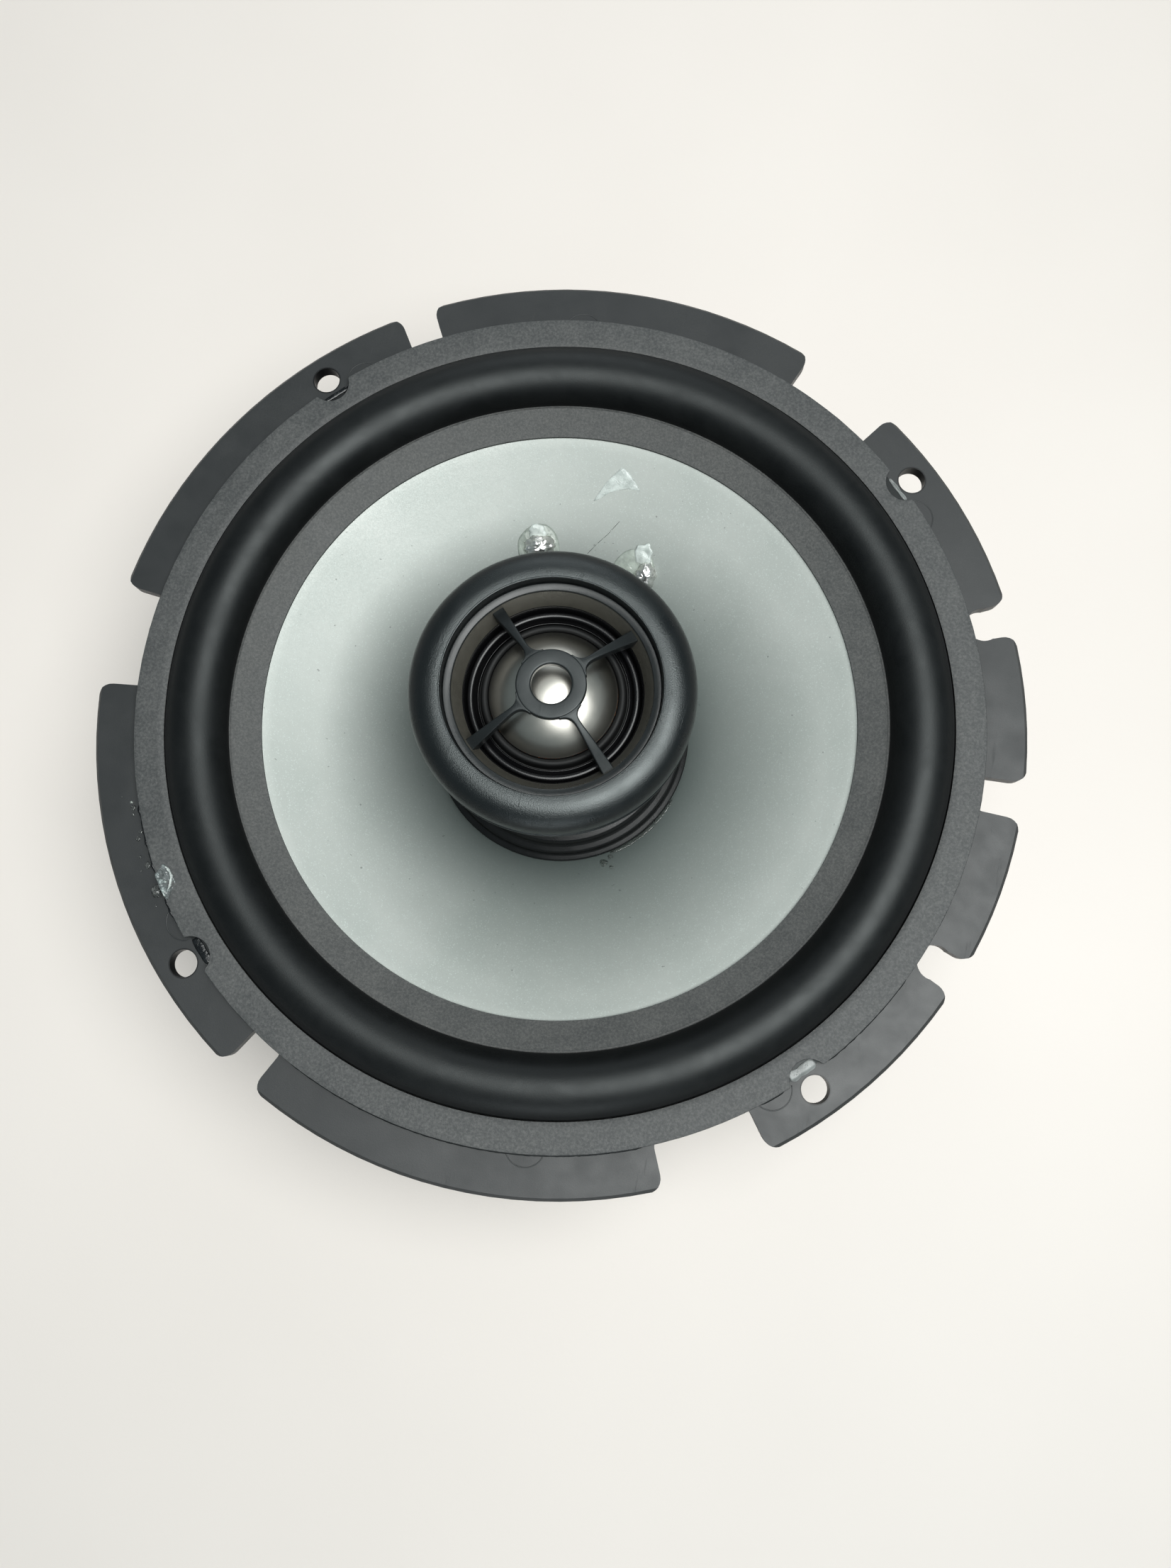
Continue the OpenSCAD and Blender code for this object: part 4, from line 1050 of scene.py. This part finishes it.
def make_gasket_smear():
    """A clear smear over the gasket's left edge, with milky ridges. Its points are radius and angle."""
    smear = [polar(r, a) for r, a in ((73.4, 212.0), (72.9, 212.8), (72.4, 214.4), (72.5, 215.4),
                                      (73.6, 216.0), (74.8, 217.1), (75.3, 216.5), (75.4, 214.9),
                                      (75.5, 213.2))]
    middle = polar(74.0, 214.6)
    blob("gasket_smear", middle, outline_about(middle, rounded(smear, 0.5)), 0.55,
         lambda x, y: GASKET_TOP - 0.06, "smear", FIXED, rings=16, spokes=96, lumps=2.0)
    ridges = (((73.7, 212.3), (72.9, 213.0), (72.7, 214.2), (73.5, 215.3), (74.5, 216.0)),
              ((75.2, 213.9), (74.6, 214.4), (73.9, 214.7)), ((74.8, 215.2), (75.0, 216.4)))
    per_leg = 8
    for n, ridge in enumerate(ridges):
        points = []
        last = per_leg * (len(ridge) - 1)
        for k in range(last + 1):
            here = min(k // per_leg, len(ridge) - 2)
            t = k / per_leg - here
            x, y = polar(*(a + (b - a) * ease(t) for a, b in zip(ridge[here], ridge[here + 1])))
            grain = wave(k * 0.35, n * 7.0, 2.0)
            fade = math.sqrt(math.sin(math.pi * (k + 0.6) / (last + 2.2)))
            points.append((x, y, (0.26 + 0.22 * grain) * fade, (0.62 + 0.5 * grain) * fade))
        bead(f"smear_ridge_{n + 1}", points, lambda x, y: GASKET_TOP - 0.04, "milky", FIXED)


def make_glue_spots():
    """Drops of glue on the flange, each with a radius, an angle, a size and a finish."""
    spots = ((76.5, 215.0, 1.15, "glue"), (76.9, 203.3, 0.50, "glue"), (77.1, 204.2, 0.30, "glue"),
             (77.1, 202.5, 0.24, "joint"), (76.4, 206.7, 0.38, "glue"), (77.1, 207.5, 0.40, "glue"),
             (77.5, 209.9, 0.25, "glue"), (76.6, 211.3, 0.60, "glue"), (78.0, 211.7, 0.18, "glue"),
             (77.8, 216.7, 0.20, "glue"), (78.6, 201.6, 0.15, "glue"))
    for n, (r, degrees, size, kind) in enumerate(spots):
        def edge(a, n=n, size=size):
            return size * (1 + 0.35 * wave(math.cos(a) * 1.4, math.sin(a) * 1.4, n * 3.0))
        blob(f"glue_spot_{n + 1}", polar(r, degrees), edge, size * 0.45, flange, kind, FIXED,
             rings=6, spokes=28, lumps=0.5)


# ---- tweeter
def make_tweeter_rim():
    """Smooth rounded ring, flat round its inner crest, with a thin lip under it."""
    crest_r, shoulder_z = 19.0, 20.6
    inner, seat, mouth_z = INSERT_R + 0.05, 20.55, HOUSING_TOP + 0.05
    shoulder = []
    for r, z in arc(1, 0, 90, 36):
        shoulder.append((crest_r + r * (RIM_R - crest_r), shoulder_z + z * (RIM_TOP - shoulder_z)))
    outline = rounded([(seat, RIM_LOW), (RIM_R, RIM_LOW), (RIM_R, RIM_LOW + 0.4),
                       (RIM_R - 0.35, RIM_LOW + 0.65), (RIM_R - 0.1, shoulder_z - 1)],
                      [0.1, 0.1, 0.12, 0.2, 0.6])
    outline += shoulder[:-1] + [(crest_r - 0.4, RIM_TOP - 0.01), (crest_r - 0.8, RIM_TOP - 0.05)]
    outline += arc(0.22, 80, 170, 8, (inner + 0.36, RIM_TOP - 0.32))
    outline += rounded([(inner, INSERT_TOP - 0.1), (inner, mouth_z), (seat, mouth_z)], [0.1, 0.05, 0.05])
    revolve("tweeter_ring", outline, "rim", FIXED, "tweeter_rim", steps=288)


def spoke_mesh(degrees):
    """One spoke: narrow beside the hub, flared into it, and widening as it slopes down to the ring."""
    turn = Matrix.Rotation(math.radians(degrees), 3, "Z")
    verts = []
    sections = 40
    start, end = HUB_R - 0.9, BORE_R + 0.1
    for k in range(sections + 1):
        r = start + (end - start) * (k / sections) ** 1.25
        half = 0.42 + 0.072 * max(0.0, r - 7.4) + 1.7 * math.exp(-max(0.0, r - HUB_R + 0.25) / 0.62)
        z_top = HUB_TOP - 0.12 - (HUB_TOP - 21.2) * ease((r - HUB_R) / (end - HUB_R) * 0.7) / ease(0.7)
        depth = 1.25 + 1.5 * max(0.0, r - HUB_R) / (end - HUB_R)
        corner = min(0.22, half * 0.5)
        section = [(-half, -depth), (half, -depth), (half, -corner)]
        section += arc(corner, 30, 90, 2, (half - corner, -corner))
        section += arc(corner, 90, 180, 3, (-half + corner, -corner))
        verts += [turn @ Vector((r, y, z_top + z)) for y, z in section]
        row = len(section)
    faces = quads(sections + 1, row)
    faces += [tuple(range(row)), tuple(sections * row + m for m in range(row))]
    return verts, faces


def make_grille():
    """Insert ring with a chamfered mouth, and the hub on four spokes."""
    outline = rounded([(INSERT_R, INSERT_LOW), (INSERT_R, INSERT_TOP), (INSERT_R - 0.55, INSERT_TOP - 0.04),
                       (BORE_R, INSERT_TOP - 0.22), (BORE_R - 0.05, INSERT_TOP - 0.5),
                       (WALL_FOOT_R, INSERT_LOW)], [0.05, 0.10, 0.3, 0.12, 0.1, 0.12])
    revolve("grille_ring", outline, "insert", FIXED, "tweeter_grille")
    under = HUB_TOP - 1.4
    hub = rounded([(HUB_HOLE_R, under), (HUB_HOLE_R, HUB_TOP), (HUB_R, HUB_TOP), (HUB_R, under)],
                  [0.1, 0.38, 0.30, 0.15], 5)
    revolve("grille_hub", hub, "tweeter_black", FIXED, "tweeter_grille", steps=160)
    verts, faces = [], []
    for degrees in BOLT_ANGLES:
        more, sides = spoke_mesh(degrees)
        faces += [tuple(v + len(verts) for v in f) for f in sides]
        verts += more
    spokes = piece("grille_spokes", verts, faces, "tweeter_black", FIXED,
                   "tweeter_grille")
    shade_flat_parts(spokes)


def make_face_ring():
    """Glossy stepped ring that clamps the dome's edge: a round ridge, and a thin bead inside it."""
    ridge = arc(0.50, 8, 172, 14, (13.85, FACE_Z + 0.95), 0.62)
    outline = rounded([(INSERT_R - 0.1, FACE_Z), (INSERT_R - 0.1, FACE_TOP), (15.1, FACE_TOP - 0.05),
                       (14.8, FACE_TOP - 0.5), (14.55, FACE_Z + 0.35)], [0.05, 0.1, 0.2, 0.12, 0.05])
    outline += ridge + [(13.15, FACE_Z + 0.10)] + arc(0.12, 20, 180, 8, (12.62, FACE_Z + 0.42), 1.2)
    outline += [(12.47, FACE_Z + 0.15), (12.42, FACE_Z)]
    revolve("face_ring", outline, "face_ring_black", FIXED, "tweeter_face_ring")


def make_dome():
    """Thin metal-film dome with a small turned-down skirt, and its soft roll."""
    rise = DOME_TOP - DOME_EDGE_Z
    ball = (DOME_R ** 2 + rise ** 2) / (2 * rise)
    middle_z = DOME_TOP - ball
    half = math.degrees(math.asin(DOME_R / ball))
    thin = 0.28
    outer = arc(ball, 90 - half, 89.8, 36, (0, middle_z))
    inner = arc(ball - thin, 89.8, 90 - half + 0.6, 24, (0, middle_z))
    film = outer + inner + [(DOME_R - 0.06, DOME_EDGE_Z - 0.28)]
    revolve("dome_film", film, "dome_metal", DOME_BODY, "tweeter_dome", steps=192)
    crest = arc(0.62, 175, 8, 14, (11.45, DOME_EDGE_Z - 0.35), 1.05)
    under = arc(0.40, 8, 175, 10, (11.45, DOME_EDGE_Z - 0.42), 1.0)
    outline = [(DOME_R + 0.03, DOME_EDGE_Z - 0.3), (DOME_R + 0.03, DOME_EDGE_Z - 0.02)] + crest
    outline += [(12.28, FACE_Z + 0.02), (14.25, FACE_Z - 0.02), (14.25, FACE_Z - 0.28),
                (12.05, FACE_Z - 0.28)]
    outline += under
    made = revolve("dome_roll", outline, "soft_black", None, "tweeter_surround", steps=160)
    stretch_between(made, lambda p: (12.2 - math.hypot(p.x, p.y)) / (12.2 - 10.9))


# ---- leads, glue and small parts
def make_tinsel_leads():
    """Braided leads from the panel to the cone."""
    routes = {
        "left": [(-11.5, 55.2, -24.2), (-11.8, 53.4, -25.3), (-12.4, 50.8, -25.2), (-12.8, 48.0, -23.0),
                 (-12.7, 45.0, -19.6), (-12.3, 41.5, -16.0), (-11.7, 38.0, -13.4), (-11.3, 35.8, -11.8),
                 (-11.15, 35.0, -10.7)],
        "right": [(11.5, 55.2, -24.2), (11.8, 53.4, -25.3), (12.2, 50.8, -25.2), (12.4, 48.0, -23.0),
                  (12.1, 44.5, -19.4), (11.3, 40.5, -16.2), (10.2, 36.5, -13.9), (9.5, 34.5, -12.8),
                  (9.25, 33.6, -11.8)]}
    for side, route in routes.items():
        points = smooth_route(route, 0.16)
        sides = 24

        def braid(i, k):
            around = 2 * math.pi * k / sides
            return 0.97 + 0.07 * math.sin(4 * around + i * 0.62) * math.sin(4 * around - i * 0.62)

        made = tube(f"tinsel_{side}", points, 0.68, "tinsel_braid", None,
                    f"tinsel_lead_{side}", sides=sides, shape=braid)
        far, near = points[0], points[-1]
        stretch_between(made, lambda p, far=far, near=near: (far - p).length
                        / ((far - p).length + (near - p).length) * 1.1 - 0.05)


def make_tweeter_leads():
    """Red and black leads, side by side along the yoke and up through the post."""
    pair = [(0, 44.4, -44.8), (0, 43.2, -48.0), (0, 41.4, -50.4), (0, 38.0, -51.0), (0, 30.0, -51.0),
            (0, 20.0, -51.0), (0, 10.0, -51.0), (0, 7.6, -50.9), (0, 6.2, -50.4), (0, 5.4, -49.2),
            (0, 5.2, -47.0), (0, 5.2, -30.0),
            (0, 5.2, -15.0), (0, 5.2, 0.0), (0, 5.3, 3.6), (0, 6.6, 5.2), (0, 9.0, 5.6), (0, 13.0, 5.6),
            (0, 15.4, 6.8), (0, 16.2, 9.0), (0, 16.2, 12.8)]
    ends = {
        "positive": [(13.8, 51.5, -36.0), (12.8, 50.5, -39.6), (8.5, 49.6, -42.0), (3.5, 48.0, -42.8),
                     (0.9, 46.0, -43.2)],
        "negative": [(11.5, 55.7, -28.0), (12.2, 55.5, -31.0), (12.4, 55.3, -36.5), (10.6, 54.9, -41.4),
                     (7.0, 54.3, -42.6), (2.5, 52.6, -43.5), (-0.7, 49.0, -43.6), (-0.8, 46.2, -43.4)]}
    for pole, finish, apart in (("positive", "lead_red", 0.6), ("negative", "lead_black", -0.6)):
        route = ends[pole] + [(x + apart, y, z) for x, y, z in pair]
        tube(f"tweeter_wire_{pole}", smooth_route(route, 0.6), 0.5, finish, FIXED,
             f"tweeter_lead_{pole}", sides=14)


def make_capacitor_glue():
    """The bead between the capacitor and the panel, as a run lump, from the CAD solid."""
    made = frame["nodes"]["capacitor_glue"]
    made.modifiers.new("weld", "WELD").merge_threshold = 2e-6
    grid = made.modifiers.new("grid", "REMESH")
    grid.mode = "VOXEL"
    grid.voxel_size = 0.35 * MM
    grid.use_smooth_shade = True
    soft = made.modifiers.new("soft", "SMOOTH")
    soft.iterations = 6
    clouds = bpy.data.textures.new("lumps", "CLOUDS")
    clouds.noise_scale = 2.5 * MM
    swell = made.modifiers.new("swell", "DISPLACE")
    swell.texture = clouds
    swell.texture_coords = "LOCAL"
    swell.strength = 0.5 * MM
    swell.mid_level = 0.6


def make_floor():
    """Plain pale bench the speaker lies on, with painted shade growing towards +X and towards -Y."""
    f = Finish("bench", (0.76, 0.725, 0.69), 0.55)
    tone = f.mix(f.noise(60, detail=3), (0.765, 0.715, 0.675), (0.725, 0.675, 0.635))
    # painted shade: the bench darkens towards +X and towards -Y, a painted falloff of the light
    shade_to_right = f.level(f.along("X"), 30, 330, 0.0, 0.35)
    shade_to_front = f.level(f.along("Y"), -20, -330, 0.0, 0.55)
    painted_falloff = f.math("ADD", shade_to_right, shade_to_front)
    f.color(f.mix(painted_falloff, tone, (0.42, 0.41, 0.395)))
    f.bump(f.noise(1.2, detail=3), 0.02)
    half = 1500
    verts = [(-half, -half, BENCH_Z), (half, -half, BENCH_Z), (half, half, BENCH_Z), (-half, half, BENCH_Z)]
    mesh = bpy.data.meshes.new("bench_top")
    mesh.from_pydata([(x * MM, y * MM, z * MM) for x, y, z in verts], [], [(0, 1, 2, 3)])
    mesh.materials.append(f.material)
    bench = bpy.data.objects.new("bench_top", mesh)
    bpy.context.scene.collection.objects.link(bench)


make_camera()
make_lights()
make_floor()
dress_cad_nodes()
make_gasket()
make_surround()
make_cone()
make_dust_ring()
make_spider()
make_winding()
make_solder_joints()
make_cone_glue()
make_ejector_marks()
make_notch_bars()
make_edge_shadow_line()
make_seam_glue()
make_gasket_smear()
make_glue_spots()
make_tweeter_rim()
make_grille()
make_face_ring()
make_dome()
make_tinsel_leads()
make_tweeter_leads()
make_capacitor_glue()
